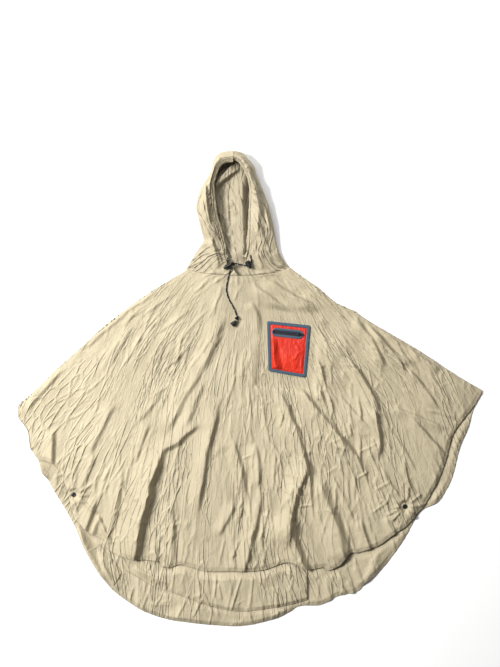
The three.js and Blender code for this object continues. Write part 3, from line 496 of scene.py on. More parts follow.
# %% Cords
CORD_DIAMETER = 4.0
CORD_TAIL = [
    (-66.2, 401.8, 13.8), (-66.6, 399, 14.6), (-67.8, 395.2, 17.8), (-69.8, 391.2, 21.2),
    (-71.2, 387.3, 22.9), (-69.2, 383.8, 22.9), (-67, 380, 22.9), (-64.8, 376.2, 22.9),
    (-62.8, 372.7, 22.7), (-61.6, 366.5, 19.8), (-62.6, 360, 16.4), (-65.4, 352, 13.8),
    (-68, 341, 12.6), (-69.8, 331, 12.2), (-72, 321, 12), (-73, 311, 11.7), (-72, 300, 11.3),
    (-69, 288, 10.6), (-64, 275, 9.4), (-57, 263, 8.6), (-50.4, 251, 7.9), (-45.6, 240, 7.2),
    (-42.2, 229, 7), (-40, 220.5, 8), (-40.6, 213.4, 10.6),
]
CORD_CROSS = [
    (-58.1, 385.2, 22.9), (-52, 387.4, 22.4), (-45, 387.6, 20.9), (-37.8, 386, 19.8), (-29, 384, 20),
    (-21, 381.8, 21.9), (-14.9, 381.2, 23.3), (-11.4, 382.5, 23.4), (-8.3, 384.3, 23.4),
    (-5.3, 386, 23.4), (-2.3, 387.7, 23.4), (0.8, 389.5, 23.4), (4.2, 393.4, 22.4), (4.4, 399.6, 20.6),
    (2.6, 406, 20.1), (2.2, 413.5, 20.3),
]


def tube(name, path, radius, sides, material, closed=False):
    """Round tube along a path in mm. Its plan runs along it first and round it second."""
    path = np.asarray(path, float)
    tangent = np.gradient(path, axis=0)
    if closed:
        tangent = np.roll(path, -1, axis=0) - np.roll(path, 1, axis=0)
    tangent /= np.linalg.norm(tangent, axis=1)[:, None]
    across = np.cross(tangent, (0.12, 0.07, 1.0))
    across /= np.linalg.norm(across, axis=1)[:, None]
    up = np.cross(across, tangent)
    angle = np.linspace(0, 2 * math.pi, sides, endpoint=False)
    rings = path[:, None] + radius * (
        np.cos(angle)[None, :, None] * across[:, None] + np.sin(angle)[None, :, None] * up[:, None])
    spread = np.broadcast_arrays(reach_along(path)[:, None], radius * angle[None, :])
    plan = np.stack(spread, axis=-1).reshape(-1, 2)
    faces = tube_faces(len(path), sides, closed)
    return mesh_piece(name, rings.reshape(-1, 3), faces, material, plan)


def knot(name, middle, turn, size=1.75, radius=1.8):
    """The cord's overhand knot, pulled tight: a closed trefoil of cord."""
    t = np.linspace(0, 2 * math.pi, 60, endpoint=False)
    flat = np.column_stack([np.sin(t) + 2 * np.sin(2 * t), np.cos(t) - 2 * np.cos(2 * t),
                            -1.25 * np.sin(3 * t)])
    c, s = math.cos(turn), math.sin(turn)
    path = flat * size @ np.array([[c, s, 0], [-s, c, 0], [0, 0, 1]]) + np.array(middle)
    return tube(name, path, radius, 8, CORD, closed=True)


tail_path = smooth_path(CORD_TAIL, 1.5)
cross_path = smooth_path(CORD_CROSS, 1.5)
cord_tail = dress(tube("cord_tail", tail_path, CORD_DIAMETER / 2, 12, CORD), "cord", "drawcord_tail")
cord_cross = dress(tube("cord_cross", cross_path, CORD_DIAMETER / 2, 12, CORD), "cord", "drawcord_cross")
end_knot = dress(knot("cord_end_knot", (-40.2, 219.5, 9.6), 0.5), "cord")
lock_knot = dress(knot("cord_lock_knot", (-53.4, 385.6, 22.6), 1.2), "cord")
print("cord lengths in mm:", round(path_length(tail_path)), round(path_length(cross_path)))

# %% [markdown]
# The outline of each panel, in the same stretches as the CAD model, from the left wrist corner along the
# shoulder and the neck to the right wrist corner, and back along the hem.

# %% Outlines
LEFT_SHOULDER = [
    (-717, -48), (-690, -26), (-651, 9), (-602, 59), (-553, 103), (-498, 153), (-454, 192), (-404, 232),
    (-345, 276), (-281, 318), (-206, 363), (-197, 374),
]
NECK_SEAM = [(-197, 374), (-170, 363), (-138, 357), (-106, 353), (-28, 349), (20, 352), (60, 357), (99, 365),
             (123, 376)]
RIGHT_SHOULDER = [
    (123, 376), (163, 346), (213, 311), (262, 269), (316, 244), (356, 217), (405, 187), (494, 135),
    (568, 88), (618, 54), (667, 24), (717, -4),
]
FRONT_HEM = [
    [(-716, -56), (-714, -88), (-686, -127), (-677, -180), (-656, -217), (-621, -225), (-595, -243),
     (-576, -280), (-564, -318), (-555, -353), (-543, -400), (-528, -414), (-493, -448), (-450, -468),
     (-442, -494), (-403, -515), (-360, -527)],
    [(-360, -527), (-285, -533), (-270, -550), (-245, -552), (-217, -543), (-177, -552), (-130, -564),
     (-40, -564), (37, -561), (99, -540), (133, -536), (177, -558), (226, -552), (245, -561), (279, -544)],
    [(279, -544), (307, -508), (337, -506), (373, -492), (403, -482), (452, -444), (485, -424), (515, -388),
     (538, -362), (580, -287), (604, -228), (627, -145), (657, -98), (690, -57), (716, -14)],
]
BACK_NECK = [(-197, 374), (-37, 376), (123, 376)]
BACK_HEM = [
    [(-719, -60), (-717, -89), (-690, -129), (-681, -183), (-661, -209), (-642, -257), (-627, -277),
     (-603, -322), (-573, -370), (-538, -435), (-514, -494), (-478, -554), (-443, -601)],
    [(-443, -601), (-419, -628), (-348, -678), (-301, -699), (-260, -712), (-211, -720), (-137, -729),
     (-63, -734), (-13, -732), (36, -722), (86, -707), (129, -686), (146, -670), (215, -668), (273, -640),
     (331, -626), (355, -601)],
    [(355, -601), (390, -572), (431, -528), (480, -456), (518, -391), (540, -370), (580, -349), (604, -316),
     (627, -269), (648, -183), (672, -124), (693, -60), (719, -10)],
]


def joined(stretches, step):
    """One path through stretches that meet in corners."""
    paths = [smooth_path(stretch, step) for stretch in stretches]
    return np.vstack([paths[0], *(path[1:] for path in paths[1:])])


def closed_outline(top, bottom):
    """Counterclockwise loop from a top path and a bottom path that both run left to right."""
    loop = np.vstack([bottom, top[::-1]])
    step = np.linalg.norm(loop - np.roll(loop, 1, axis=0), axis=1)
    return loop[step > 0.5]


CLOTH_STEP = 3.5
front_hem = joined(FRONT_HEM, CLOTH_STEP)
back_hem = joined(BACK_HEM, CLOTH_STEP)
front_outline = closed_outline(joined([LEFT_SHOULDER, NECK_SEAM, RIGHT_SHOULDER], CLOTH_STEP), front_hem)
back_outline = closed_outline(joined([LEFT_SHOULDER, BACK_NECK, RIGHT_SHOULDER], CLOTH_STEP), back_hem)
print("outline points, front and back:", len(front_outline), len(back_outline))


# %% [markdown]
# A panel that lies flat is a height over its plan. `filled` sows points evenly inside an outline and joins
# them into triangles, so the mesh is equally fine everywhere and follows the hem exactly. `sheet_piece`
# lifts the points to their heights and turns the edge down, which gives the cloth its rolled hem.

# %% Flat cloth
EDGE_ROOM = 0.6


def inside(loop, x, y):
    """Which points lie inside a closed plan loop."""
    within = np.zeros(len(x), bool)
    for (x0, y0), (x1, y1) in zip(loop, np.roll(loop, -1, axis=0)):
        if y0 != y1:
            crosses = (y0 > y) != (y1 > y)
            within ^= crosses & (x < x0 + (y - y0) * (x1 - x0) / (y1 - y0))
    return within


def nearest(loop, x, y):
    """Distance to the nearest point of a plan path, and that point's place in it."""
    tree = KDTree(len(loop))
    for i, (px, py) in enumerate(loop.tolist()):
        tree.insert((px, py, 0), i)
    tree.balance()
    found = [tree.find((a, b, 0)) for a, b in zip(x.tolist(), y.tolist())]
    return np.array([f[2] for f in found]), np.array([f[1] for f in found])


def sown(loop, step, coarse=None, coarse_step=24.0):
    """Points of a triangular grid inside a loop, sparser where coarse(x, y) is true."""
    def grid(size):
        (x0, y0), (x1, y1) = loop.min(axis=0), loop.max(axis=0)
        rows = []
        for i, y in enumerate(np.arange(y0 + size / 2, y1, size * math.sqrt(3) / 2)):
            row = np.arange(x0 + (i % 2) * size / 2, x1, size)
            rows.append(np.column_stack([row, np.full(len(row), y)]))
        found = np.vstack(rows)
        return found[inside(loop, *found.T)]

    spots = grid(step)
    if coarse is not None:
        sparse = grid(coarse_step)
        spots = np.vstack([spots[~coarse(*spots.T)], sparse[coarse(*sparse.T)]])
    distance, _ = nearest(loop, *spots.T)
    return spots[distance > EDGE_ROOM * step]


def filled(loops, step, **sowing):
    """Plan points and triangles inside the first loop and outside the others."""
    rim = np.vstack(loops)
    spots = sown(loops[0], step, **sowing)
    for hole in loops[1:]:
        distance, _ = nearest(hole, *spots.T)
        spots = spots[(distance > EDGE_ROOM * step) & ~inside(hole, *spots.T)]
    edges = []
    start = 0
    for loop in loops:
        edges += [(start + i, start + (i + 1) % len(loop)) for i in range(len(loop))]
        start += len(loop)
    flat = np.vstack([rim, spots])
    found = delaunay_2d_cdt([Vector(p) for p in flat.tolist()], edges, [], 0, 1e-5)
    points = np.array([tuple(p) for p in found[0]])
    triangles = np.array(found[2])
    on_rim = np.array([min(origin) < len(rim) for origin in found[3]])
    doubtful = on_rim[triangles].all(axis=1)
    centre = points[triangles[doubtful]].mean(axis=1)
    keep = inside(loops[0], *centre.T)
    for hole in loops[1:]:
        keep &= ~inside(hole, *centre.T)
    kept = np.ones(len(triangles), bool)
    kept[doubtful] = keep
    return points, triangles[kept]


def rim_loops(triangles):
    """The open edges of a triangle mesh as closed lists of points, in the direction of its faces."""
    edges = np.vstack([triangles[:, [0, 1]], triangles[:, [1, 2]], triangles[:, [2, 0]]])
    found = {tuple(edge) for edge in edges.tolist()}
    following = {a: b for a, b in found if (b, a) not in found}
    loops = []
    while following:
        start, onward = following.popitem()
        loop = [start]
        while onward != start:
            loop.append(onward)
            onward = following.pop(onward)
        loops.append(loop)
    return loops


def sheet_piece(name, plan, triangles, height, material, pattern, drop=1.0, tuck=2.6):
    """Cloth over a plan, with its edge turned down by drop mm and under by tuck mm."""
    points = [np.column_stack([plan, height])]
    plans = [pattern]
    faces = triangles.tolist()
    count = len(plan)
    for loop in rim_loops(triangles):
        rim = np.column_stack([plan[loop], height[loop]])
        inward = np.roll(rim[:, :2], -1, axis=0) - np.roll(rim[:, :2], 1, axis=0)
        inward /= np.maximum(np.linalg.norm(inward, axis=1), 1e-9)[:, None]
        inward = np.column_stack([-inward[:, 1], inward[:, 0]])
        before = list(loop)
        for share, depth in ((-0.2, 0.5), (1.0, 1.0)):
            ring = rim.copy()
            ring[:, :2] += inward * share * tuck
            ring[:, 2] -= drop * depth
            points.append(ring)
            plans.append(pattern[loop])
            after = list(range(count, count + len(loop)))
            count += len(loop)
            faces += [[before[i], after[i], after[(i + 1) % len(loop)], before[(i + 1) % len(loop)]]
                      for i in range(len(loop))]
            before = after
    return mesh_piece(name, np.vstack(points), faces, material, np.vstack(plans))


print("cloth is sown every", CLOTH_STEP, "mm")

# %% [markdown]
# The heights of the cloth. The large folds are the CAD model's own, with a sharper crest. Over them come
# smaller creases listed one by one, a scatter of narrow ones that fan out from the neck as packed cloth
# creases do, and two sizes of flat facets. Everything stays above the layer below, and fades to nothing
# under the chest pocket and the snaps.

# %% Folds of the front
FRONT_FOLDS = [
    (-150, -100, -285, -195, 4, 34, 13, 0.55), (-258, -150, -368, -580, -12, 46, 27, 0.6),
    (-283, -470, -293, -570, 0, 20, 8, 0.5), (-84, 225, -160, 45, 6, 34, 12, 0.5),
    (-150, 80, -272, -150, 4, 28, 10, 0.5), (-145, 40, -207, -120, 6, 28, 8, 0.5),
    (-96, -20, -165, -415, -4, 32, 15, 0.6), (-63, -140, -5, -362, 4, 22, 9, 0.5),
    (12, -160, 20, -312, 8, 22, 9, 0.5), (42, -300, -32, -600, 4, 24, 11, 0.6),
    (-44, -348, -98, -460, 0, 22, 8, 0.5), (74, 30, 200, -372, 16, 32, 14, 0.6),
    (182, -205, 112, -500, -8, 36, 19, 0.55), (112, -370, 192, -598, -10, 38, 20, 0.5),
    (188, -240, 306, -580, 14, 48, 20, 0.4), (338, -395, 376, -520, 0, 20, 9, 0.5),
    (420, -395, 458, -470, 0, 16, 6, 0.5), (36, 345, 222, 245, -4, 26, 13, 0.6),
    (2, 335, 168, 222, -12, 24, 12, 0.6), (-2, 275, 46, 175, 4, 24, 9, 0.5),
    (-538, -328, -462, -386, 0, 8, 6, 0.5), (-458, -386, -496, -456, 0, 11, 8, -0.3),
    (-470, -384, -424, -484, 0, 11, 9, 0.5), (-402, -300, -350, -348, 0, 7, 4, 0.4),
    (128, 20, 350, -245, 10, 28, 16, 0.6), (294, 110, 412, -92, 4, 24, 13, 0.6),
    (318, 232, 424, 58, 4, 26, 14, 0.6), (360, 212, 518, 74, -20, 22, 12, 0.6),
    (496, 122, 592, 54, -6, 18, 9, 0.6), (480, 70, 588, -70, 4, 22, 11, 0.6),
    (380, -50, 392, -222, 12, 26, 12, 0.6), (415, -48, 622, -126, 4, 20, 10, 0.6),
    (486, -74, 608, -220, 4, 22, 11, 0.6), (200, -125, 290, -190, 0, 20, 7, 0.5),
    (401, -236, 466, -345, 0, 18, 7, 0.5), (478, -200, 538, -350, -20, 18, 7, 0.5),
    (-306, 304, -542, 100, -3, 14, 4, 0.4), (-570, 70, -700, -86, -4, 18, 7, 0.5),
    (-350, 205, -436, 60, -10, 20, 6, 0.5), (-258, 24, -348, -110, 2, 20, 6, 0.5),
    (-303, -95, -357, -238, -6, 20, 7, 0.5), (-410, -30, -500, -215, -4, 24, 8, 0.5),
    (-470, -190, -532, -330, -3, 22, 7, 0.5), (-392, -230, -440, -480, 4, 26, 9, 0.55),
    (-470, -330, -520, -460, 0, 26, 11, 0.5), (-610, -120, -612, -250, 0, 24, 12, 0.5),
    (-236, -330, -232, -560, -4, 26, 9, 0.55),
]
FRONT_CREASES = [
    (-270, 330, -345, 262, 3, 8, 3.0, 0.4), (-225, 300, -330, 225, -4, 9, 3.2, 0.4),
    (-170, 262, -300, 165, 5, 9, 3.5, 0.4), (-120, 255, -232, 128, -4, 9, 3.2, 0.4),
    (-105, 180, -190, 60, 3, 8, 3.0, 0.4), (-330, 180, -392, 70, 4, 9, 3.4, 0.4),
    (-262, 140, -300, 40, 0, 8, 3.2, 0.5), (-390, 165, -470, 40, -4, 9, 3.2, 0.4),
    (-470, 110, -520, 0, 3, 8, 3.0, 0.4), (-300, 40, -352, -60, 0, 8, 3.0, 0.4),
    (-205, 45, -240, -55, 3, 8, 3.0, 0.5), (-440, 10, -520, -130, 4, 9, 3.6, 0.4),
    (-520, -20, -590, -150, -3, 9, 3.4, 0.4), (-565, -60, -640, -190, 3, 8, 3.2, 0.4),
    (-370, -70, -430, -200, 2, 9, 3.4, 0.4), (-310, -150, -345, -300, 0, 9, 3.6, 0.5),
    (-420, -210, -470, -360, -4, 9, 3.6, 0.4), (-500, -150, -560, -290, 3, 8, 3.2, 0.4),
    (-215, -140, -245, -290, 4, 9, 3.5, 0.4), (-186, -260, -205, -420, -3, 9, 3.6, 0.5),
    (-120, -140, -130, -300, 3, 8, 3.0, 0.4), (-40, 60, -75, -60, 0, 8, 3.0, 0.4),
    (-10, 20, 5, -130, 4, 9, 3.4, 0.4), (40, -20, 62, -180, -3, 8, 3.2, 0.4),
    (-20, -210, -40, -340, 3, 8, 3.0, 0.4), (80, -190, 70, -330, 0, 8, 3.2, 0.5),
    (60, -370, 75, -500, 3, 9, 3.4, 0.4), (20, -400, 10, -530, -3, 8, 3.0, 0.4),
    (230, -60, 300, -200, 4, 9, 3.4, 0.3), (270, -10, 380, -130, -4, 9, 3.4, 0.3),
    (310, 60, 372, -60, 3, 8, 3.2, 0.3), (210, 200, 262, 60, 4, 8, 3.0, 0.3),
    (250, 170, 330, 20, -3, 9, 3.4, 0.3), (440, 120, 520, -30, 3, 9, 3.4, 0.3),
    (540, 60, 632, -60, 3, 8, 3.0, 0.3), (350, -140, 420, -300, -4, 9, 3.6, 0.3),
    (430, -120, 520, -270, 4, 9, 3.4, 0.3), (250, -260, 330, -430, 3, 9, 3.6, 0.3),
    (540, -60, 640, -90, 2, 8, 3.0, 0.3), (400, -300, 452, -420, -3, 8, 3.2, 0.3),
    (-20, 330, -60, 262, 2, 8, 3.0, 0.4), (10, 340, 30, 250, 3, 8, 3.0, 0.4),
    (60, 340, 118, 268, -3, 8, 3.0, 0.4), (-120, 345, -190, 290, 3, 8, 3.0, 0.4),
    (120, 345, 215, 282, 3, 8, 2.6, 0.4), (-90, 300, -130, 215, 2, 8, 3.0, 0.4),
]
NECK_SWELL = {"x": -35, "y": 350, "reach_x": 170, "reach_y": 130, "height": 7}
HEM_STEP = (-400, -460)
POCKET_CALM = {"x": 117, "y": 125, "half_width": 80, "half_height": 112, "skew_x": 0.07, "skew_y": 0.1,
               "fade": 24}
SNAPS = {"left": (-546, -326), "right": (479, -363)}
SNAP_SEAT = {"rise": 3.6, "flat": 22, "fade": 50}
SNAP_CALM = (9, 24)


def calm_places(x, y):
    """1 over the chest pocket and the snaps, where the cloth lies flat, 0 elsewhere."""
    calm = POCKET_CALM
    aside = np.abs(x - calm["x"] - calm["skew_x"] * (y - calm["y"])) - calm["half_width"]
    above = np.abs(y - calm["y"] + calm["skew_y"] * (x - calm["x"])) - calm["half_height"]
    found = 1 - smooth(0, calm["fade"], np.maximum(aside, above))
    for sx, sy in SNAPS.values():
        found = np.maximum(found, 1 - smooth(*SNAP_CALM, np.hypot(x - sx, y - sy)))
    return found


def jagged(x, y, seed, size=55, shift=9):
    """The same places moved by flat facets, so that a straight fold read there runs in kinks."""
    return [v + shift * (crumple(x, y, size, seed + i, PLAN_BOX) - 0.5) for i, v in enumerate((x, y))]


def front_form(x, y):
    """Height of the front without its small creases, in the CAD model's own terms."""
    swell = NECK_SWELL
    raised = (WALL + GAP) * smooth(*HEM_STEP, y)
    raised = raised + swell["height"] * bump((x - swell["x"]) / swell["reach_x"]) * bump(
        (y - swell["y"]) / swell["reach_y"])
    for sx, sy in SNAPS.values():
        raised = raised + SNAP_SEAT["rise"] * (
            1 - smooth(SNAP_SEAT["flat"], SNAP_SEAT["fade"], np.hypot(x - sx, y - sy)))
    kinked = jagged(x, y, 21) if len(x) > 50 else (x, y)
    return FRONT_TOP - 0.4 + raised + (1 - calm_places(x, y)) * fold_height(FRONT_FOLDS, *kinked)


print("folds and creases on the front:", len(FRONT_FOLDS), len(FRONT_CREASES))

# %% [markdown]
# The fan. Creases run outward from a point near the throat, which lies further to the other side the
# further out they are. They straighten as they run. So a point's place in the cloth's own pattern is its
# angle round that point and its distance from it. The shader uses the same plan, so its fine lines run
# the same way as the modelled ones.

# %% Fan of creases
FAN_POINT = (-20, 450)
FAN_RADIUS = 900
FAN_SPREAD = 120
FAN_SWAY = 55
BROAD_FACETS = 5.5


def fan_centre(x):
    """X of the point that the creases at x run out from. It lies across the middle, so they lean more."""
    return FAN_POINT[0] - FAN_SPREAD * np.tanh((x - FAN_POINT[0]) / 300)


def fanned(x, y):
    """Plan that runs across the fan first and out along it second."""
    dx, dy = x - fan_centre(x), FAN_POINT[1] - y
    away = np.hypot(dx, dy)
    across = np.arctan2(dx, dy) * (FAN_RADIUS + away) / 2 + FAN_SWAY * drift(x, y, 230, 401)
    return np.column_stack([across, away])


def fan_turn(x, y):
    """Direction of the creases at one place, as an angle from straight down. It eases with distance."""
    dx, dy = x - fan_centre(x), FAN_POINT[1] - y
    turn, away = math.atan2(dx, dy), math.hypot(dx, dy)
    return turn - math.atan(turn * away / (FAN_RADIUS + away))


def scattered_creases(box, count, seed, length=(36, 150), width=(5, 8.5), height=(1.2, 3.4), strays=0.1):
    """Rows of a fold table for narrow creases that follow the fan, with some strays across it."""
    rng = np.random.default_rng(seed)
    (x0, y0), (x1, y1) = box
    rows = []
    for _ in range(count):
        x, y = rng.uniform(x0, x1), rng.uniform(y0, y1)
        turn = fan_turn(x, y) + rng.normal(0, 0.2)
        half = rng.uniform(*length) / 2
        if rng.uniform() < strays:
            turn += rng.uniform(0.6, 2.2)
            half *= 0.6
        dx, dy = half * math.sin(turn), -half * math.cos(turn)
        rows.append((x - dx, y - dy, x + dx, y + dy, rng.normal(0, 0.03) * 2 * half, rng.uniform(*width),
                     rng.uniform(*height), rng.uniform(0.3, 0.7)))
    return rows


def crumpled(x, y, seed, coarse=3.0, fine=1.8):
    """Facets stretched along the fan, in two sizes, over broad ones. They are weaker near the throat."""
    plan = fanned(x, y)
    across, along = plan[:, 0], plan[:, 1]
    bent = across + 12 * drift(x, y, 110, seed)
    large = crumple(bent, along / 3.2, 34, seed + 1) * coarse
    small = crumple(bent, along / 2.6, 15, seed + 2) * fine
    broad = crumple(x, y, 72, seed + 4, PLAN_BOX) * BROAD_FACETS
    awake = 0.3 + 0.7 * smooth(120, 480, along)
    small = small * awake * np.clip(0.5 + 0.9 * drift(x, y, 110, seed + 3), 0.1, 1.3)
    return large * awake + broad + small


def hem_ruffle(loop, x, y, seed, reach=16, height=1.6):
    """Small puckers that run in from a stitched edge."""
    distance, place = nearest(loop, x, y)
    along = place * CLOTH_STEP
    waves = 0.5 + 0.5 * drift(along, np.zeros_like(along), 7, seed)
    waves = waves * (0.4 + 0.6 * np.abs(drift(along, np.ones_like(along), 90, seed + 1)))
    return height * waves * np.exp(-distance / reach), distance


print("a stray crease and its row:", [round(v, 1) for v in scattered_creases(((0, 0), (9, 9)), 1, 3)[0]])

# %% [markdown]
# Two kinds of gathers. The drawcord bunches the cloth at the neck, so puckers cross the neck seam there and
# point at the throat. Each snap clamps both panels, so short creases run out from it on all sides.

# %% Gathers
THROAT = (-33, 392)


def neck_puckers(seed=91):
    """Short creases that cross the neck seam and point at the throat, closest together near it."""
    rng = np.random.default_rng(seed)
    rows = []
    for place in np.concatenate([np.linspace(0.22, 0.5, 13), np.linspace(0.54, 0.86, 14)]):
        (x, y), = at_share(smooth_path(NECK_SEAM, 4), [place + rng.normal(0, 0.006)])
        turn = math.atan2(y - THROAT[1], x - THROAT[0]) + rng.normal(0, 0.15)
        inner, outer = rng.uniform(18, 32), rng.uniform(16, 40)
        c, s = math.cos(turn), math.sin(turn)
        rows.append((x - c * inner, y - s * inner, x + c * outer, y + s * outer, 0, rng.uniform(4.5, 6.5),
                     rng.uniform(1.6, 3.4), rng.uniform(0.1, 0.5)))
    return rows


def pinches(seed=95):
    """Short creases round each snap, where the two panels are pinched together."""
    rng = np.random.default_rng(seed)
    rows = []
    for x, y in SNAPS.values():
        for turn in np.linspace(0, 2 * math.pi, 12)[:-1] + rng.normal(0, 0.15, 11):
            c, s = math.cos(turn), math.sin(turn)
            near, far = rng.uniform(5, 9), rng.uniform(38, 85)
            rows.append((x + c * near, y + s * near, x + c * far, y + s * far, rng.normal(0, 2),
                         rng.uniform(6, 9), rng.uniform(3.0, 5.5), rng.uniform(0.1, 0.6)))
    return rows


NECK_PUCKERS = neck_puckers()
SNAP_PINCHES = pinches()
print("puckers at the neck and pinches at the snaps:", len(NECK_PUCKERS), len(SNAP_PINCHES))

# %% [markdown]
# The front panel: the largest piece, cut from neck to hem with the shoulder seams at its top edges. The
# cloth is calmer in a few places, such as the chest, and it gives way under the drawcord that lies on it.

# %% Front panel
FRONT_SEED = 11
# x, y, reach and how much less the small creases rise there
QUIET_PLACES = [(-470, -60, 240, 0.62), (5, 260, 150, 0.5), (230, 235, 130, 0.5), (-560, 40, 140, 0.3),
                (-150, 320, 110, 0.35), (110, 330, 110, 0.35)]
CORD_REST = {"end": (-49.4, 204.2, 3.6), "knot": (-40.2, 219.5, 3.8)}


def under_cord(x, y, height):
    """The cloth kept below the free cord, its knot and its end, which lie on it."""
    distance, place = nearest(tail_path[:, :2], x, y)
    room = tail_path[place, 2] - CORD_DIAMETER / 2 - 0.2
    height = height - (1 - smooth(3, 18, distance)) * np.maximum(0, height - room)
    for px, py, top in CORD_REST.values():
        away = 1 - smooth(12, 30, np.hypot(x - px, y - py))
        height = height - away * np.maximum(0, height - top)
    return height


def front_height(x, y):
    calm = calm_places(x, y)
    (x0, y0), (x1, y1) = front_outline.min(axis=0), front_outline.max(axis=0)
    scatter = scattered_creases(((x0, y0), (x1, y1)), 900, FRONT_SEED, height=(1.4, 4.4))
    small = crumpled(x, y, FRONT_SEED) + 1.25 * fold_height(FRONT_CREASES, x, y, 0.8)
    patches = np.clip(0.6 + 0.8 * drift(x, y, 120, FRONT_SEED + 7), 0.1, 1.3)
    small = small + fold_height(scatter, x, y, 0.9) * patches
    ruffle, distance = hem_ruffle(front_outline, x, y, FRONT_SEED + 8)
    small = small * (0.35 + 0.65 * smooth(0, 14, distance)) + ruffle
    lively = 0.8 + 0.5 * smooth(-350, 350, x)
    for px, py, reach, less in QUIET_PLACES:
        lively = lively * (1 - less * (1 - smooth(0.3 * reach, reach, np.hypot(x - px, y - py))))
    small = lively * small + fold_height(NECK_PUCKERS + SNAP_PINCHES, x, y, 0.8)
    return under_cord(x, y, front_form(x, y) + (1 - calm) * small)


def make_front():
    plan, triangles = filled([front_outline], CLOTH_STEP)
    return sheet_piece("front_panel_cloth", plan, triangles, front_height(*plan.T), SHELL, fanned(*plan.T),
                       drop=2.0)


front_cloth = dress(make_front(), "shell_fabric", "front_panel")

# %% [markdown]
# The back panel is longer than the front and shows as a border round its hem. It lies on the surface. Only
# the border is sown finely, because the rest is hidden, and there it stays flat under the front. At the
# left of the hem and at the wrist its edge stands up as a rim, and the cloth falls away inside it.

# %% Back panel
BACK_FOLDS = [
    (346, -612, 400, -505, -4, 22, 10, 0.1), (236, -572, 246, -668, 2, 18, 6, 0.1),
    (276, -568, 292, -644, 3, 18, 6, 0.1), (-662, -196, -630, -292, 0, 22, 17, -0.55),
    (-536, -400, -424, -618, -15, 18, 21, -0.5), (-470, -500, -402, -628, -4, 18, 14, -0.4),
    (-368, -548, -245, -606, 0, 16, 10, 0.4),
    (300, -590, 330, -650, 0, 14, 7, 0.2), (322, -545, 352, -610, 0, 14, 8, 0.3),
    (372, -540, 418, -478, 0, 12, 6, 0.3), (600, -70, 588, -150, 0, 12, 7, 0.3),
    (585, -170, 540, -300, 4, 14, 8, 0.3),
]
BACK_SEED = 31
BACK_REST = 0.5
HEM_MEETING = 2.2


def shown_of_back(x, y):
    """0 under the front panel, rising to 1 at 26 mm outside its hem."""
    distance, _ = nearest(front_hem, x, y)
    return np.where(inside(front_outline, x, y), 0, smooth(2, 26, distance))


def back_height(x, y):
    shown = shown_of_back(x, y)
    (x0, y0), (x1, y1) = back_outline.min(axis=0), back_outline.max(axis=0)
    scatter = scattered_creases(((x0, y0), (x1, y1)), 700, BACK_SEED, height=(1.4, 4.0))
    small = crumpled(x, y, BACK_SEED, 3.8, 1.9) + fold_height(scatter, x, y, 0.9)
    ruffle, distance = hem_ruffle(back_hem, x, y, BACK_SEED + 8)
    small = small * (0.3 + 0.7 * smooth(0, 14, distance)) + ruffle
    folds = fold_height(BACK_FOLDS, x, y)
    small = small * (1 - 0.6 * np.clip(folds / 10, 0, 1))
    from_front, _ = nearest(front_hem, x, y)
    meeting = HEM_MEETING * smooth(0.5, 5, from_front) * np.exp(-from_front / 22)
    meeting = meeting * ~inside(front_outline, x, y)
    return BACK_REST + meeting + shown * (small + folds)


def deep_under_front(x, y):
    distance, _ = nearest(front_hem, x, y)
    return inside(front_outline, x, y) & (distance > 30)


def make_back():
    plan, triangles = filled([back_outline], CLOTH_STEP, coarse=deep_under_front)
    return sheet_piece("back_panel_cloth", plan, triangles, back_height(*plan.T), SHELL, fanned(*plan.T),
                       drop=0.4)


back_cloth = dress(make_back(), "shell_fabric", "back_panel")

# %% [markdown]
# Strips on the back. The hem of the back is faced with a band of doubled cloth, and above it lies the stow
# pocket that the poncho packs into. Both rest on the back panel, so their heights start from it.

# %% Facings and stow pocket
FACING_SIDE = {
    "inner": [(-462, -486), (-429, -523), (-397, -566)],
    "outer": [(-508, -498), (-476, -552), (-424, -617)],
}
FACING_BAND = {
    "inner": [(-386, -560), (-325, -595), (-282, -621), (-242, -630), (-211, -641), (-112, -677),
              (-34, -690), (37, -684), (115, -672), (183, -654)],
    "outer": [(-428, -620), (-417, -627), (-348, -675), (-300, -697), (-260, -709), (-211, -717),
              (-137, -726), (-63, -731), (-13, -729), (36, -719), (86, -704), (128, -684), (145, -673),
              (182, -667)],
}
STOW_POCKET = {
    "inner": [(-240, -528), (-160, -522), (-40, -524), (60, -522), (138, -536), (176, -556)],
    "outer": [(-243, -628), (-211, -638), (-112, -674), (-34, -687), (37, -681), (115, -669), (177, -653)],
}
STRIP_STEP = 3.0
STRIP_LIFT = 1.4


def make_strip(name, strip, seed, relief, lap=None):
    """Doubled cloth on the back. lap is the X up to which it lies on the strip before it."""
    outer, inner = smooth_path(strip["outer"], STRIP_STEP), smooth_path(strip["inner"], STRIP_STEP)
    loop = closed_outline(inner, outer)
    plan, triangles = filled([loop], STRIP_STEP)
    x, y = plan.T
    shown = shown_of_back(x, y)
    ruffle, distance = hem_ruffle(loop, x, y, seed, 9, 1.2)
    own = crumpled(x, y, seed, relief, 0.5 * relief) * smooth(0, 12, distance) + ruffle
    height = back_height(x, y) + STRIP_LIFT + shown * own
    if lap is not None:
        height = height + (WALL + GAP) * (1 - smooth(lap - 20, lap + 20, x))
    return sheet_piece(name, plan, triangles, height, SHELL, fanned(x, y), drop=0.9)


facing_side = dress(make_strip("back_hem_facing_side_cloth", FACING_SIDE, 51, 1.4), "shell_fabric",
                    "back_hem_facing_side")
facing_band = dress(make_strip("back_hem_facing_cloth", FACING_BAND, 61, 1.4, lap=-330), "shell_fabric",
                    "back_hem_facing")
stow_pocket = dress(make_strip("stow_pocket_cloth", STOW_POCKET, 71, 3.2), "shell_fabric", "stow_pocket")

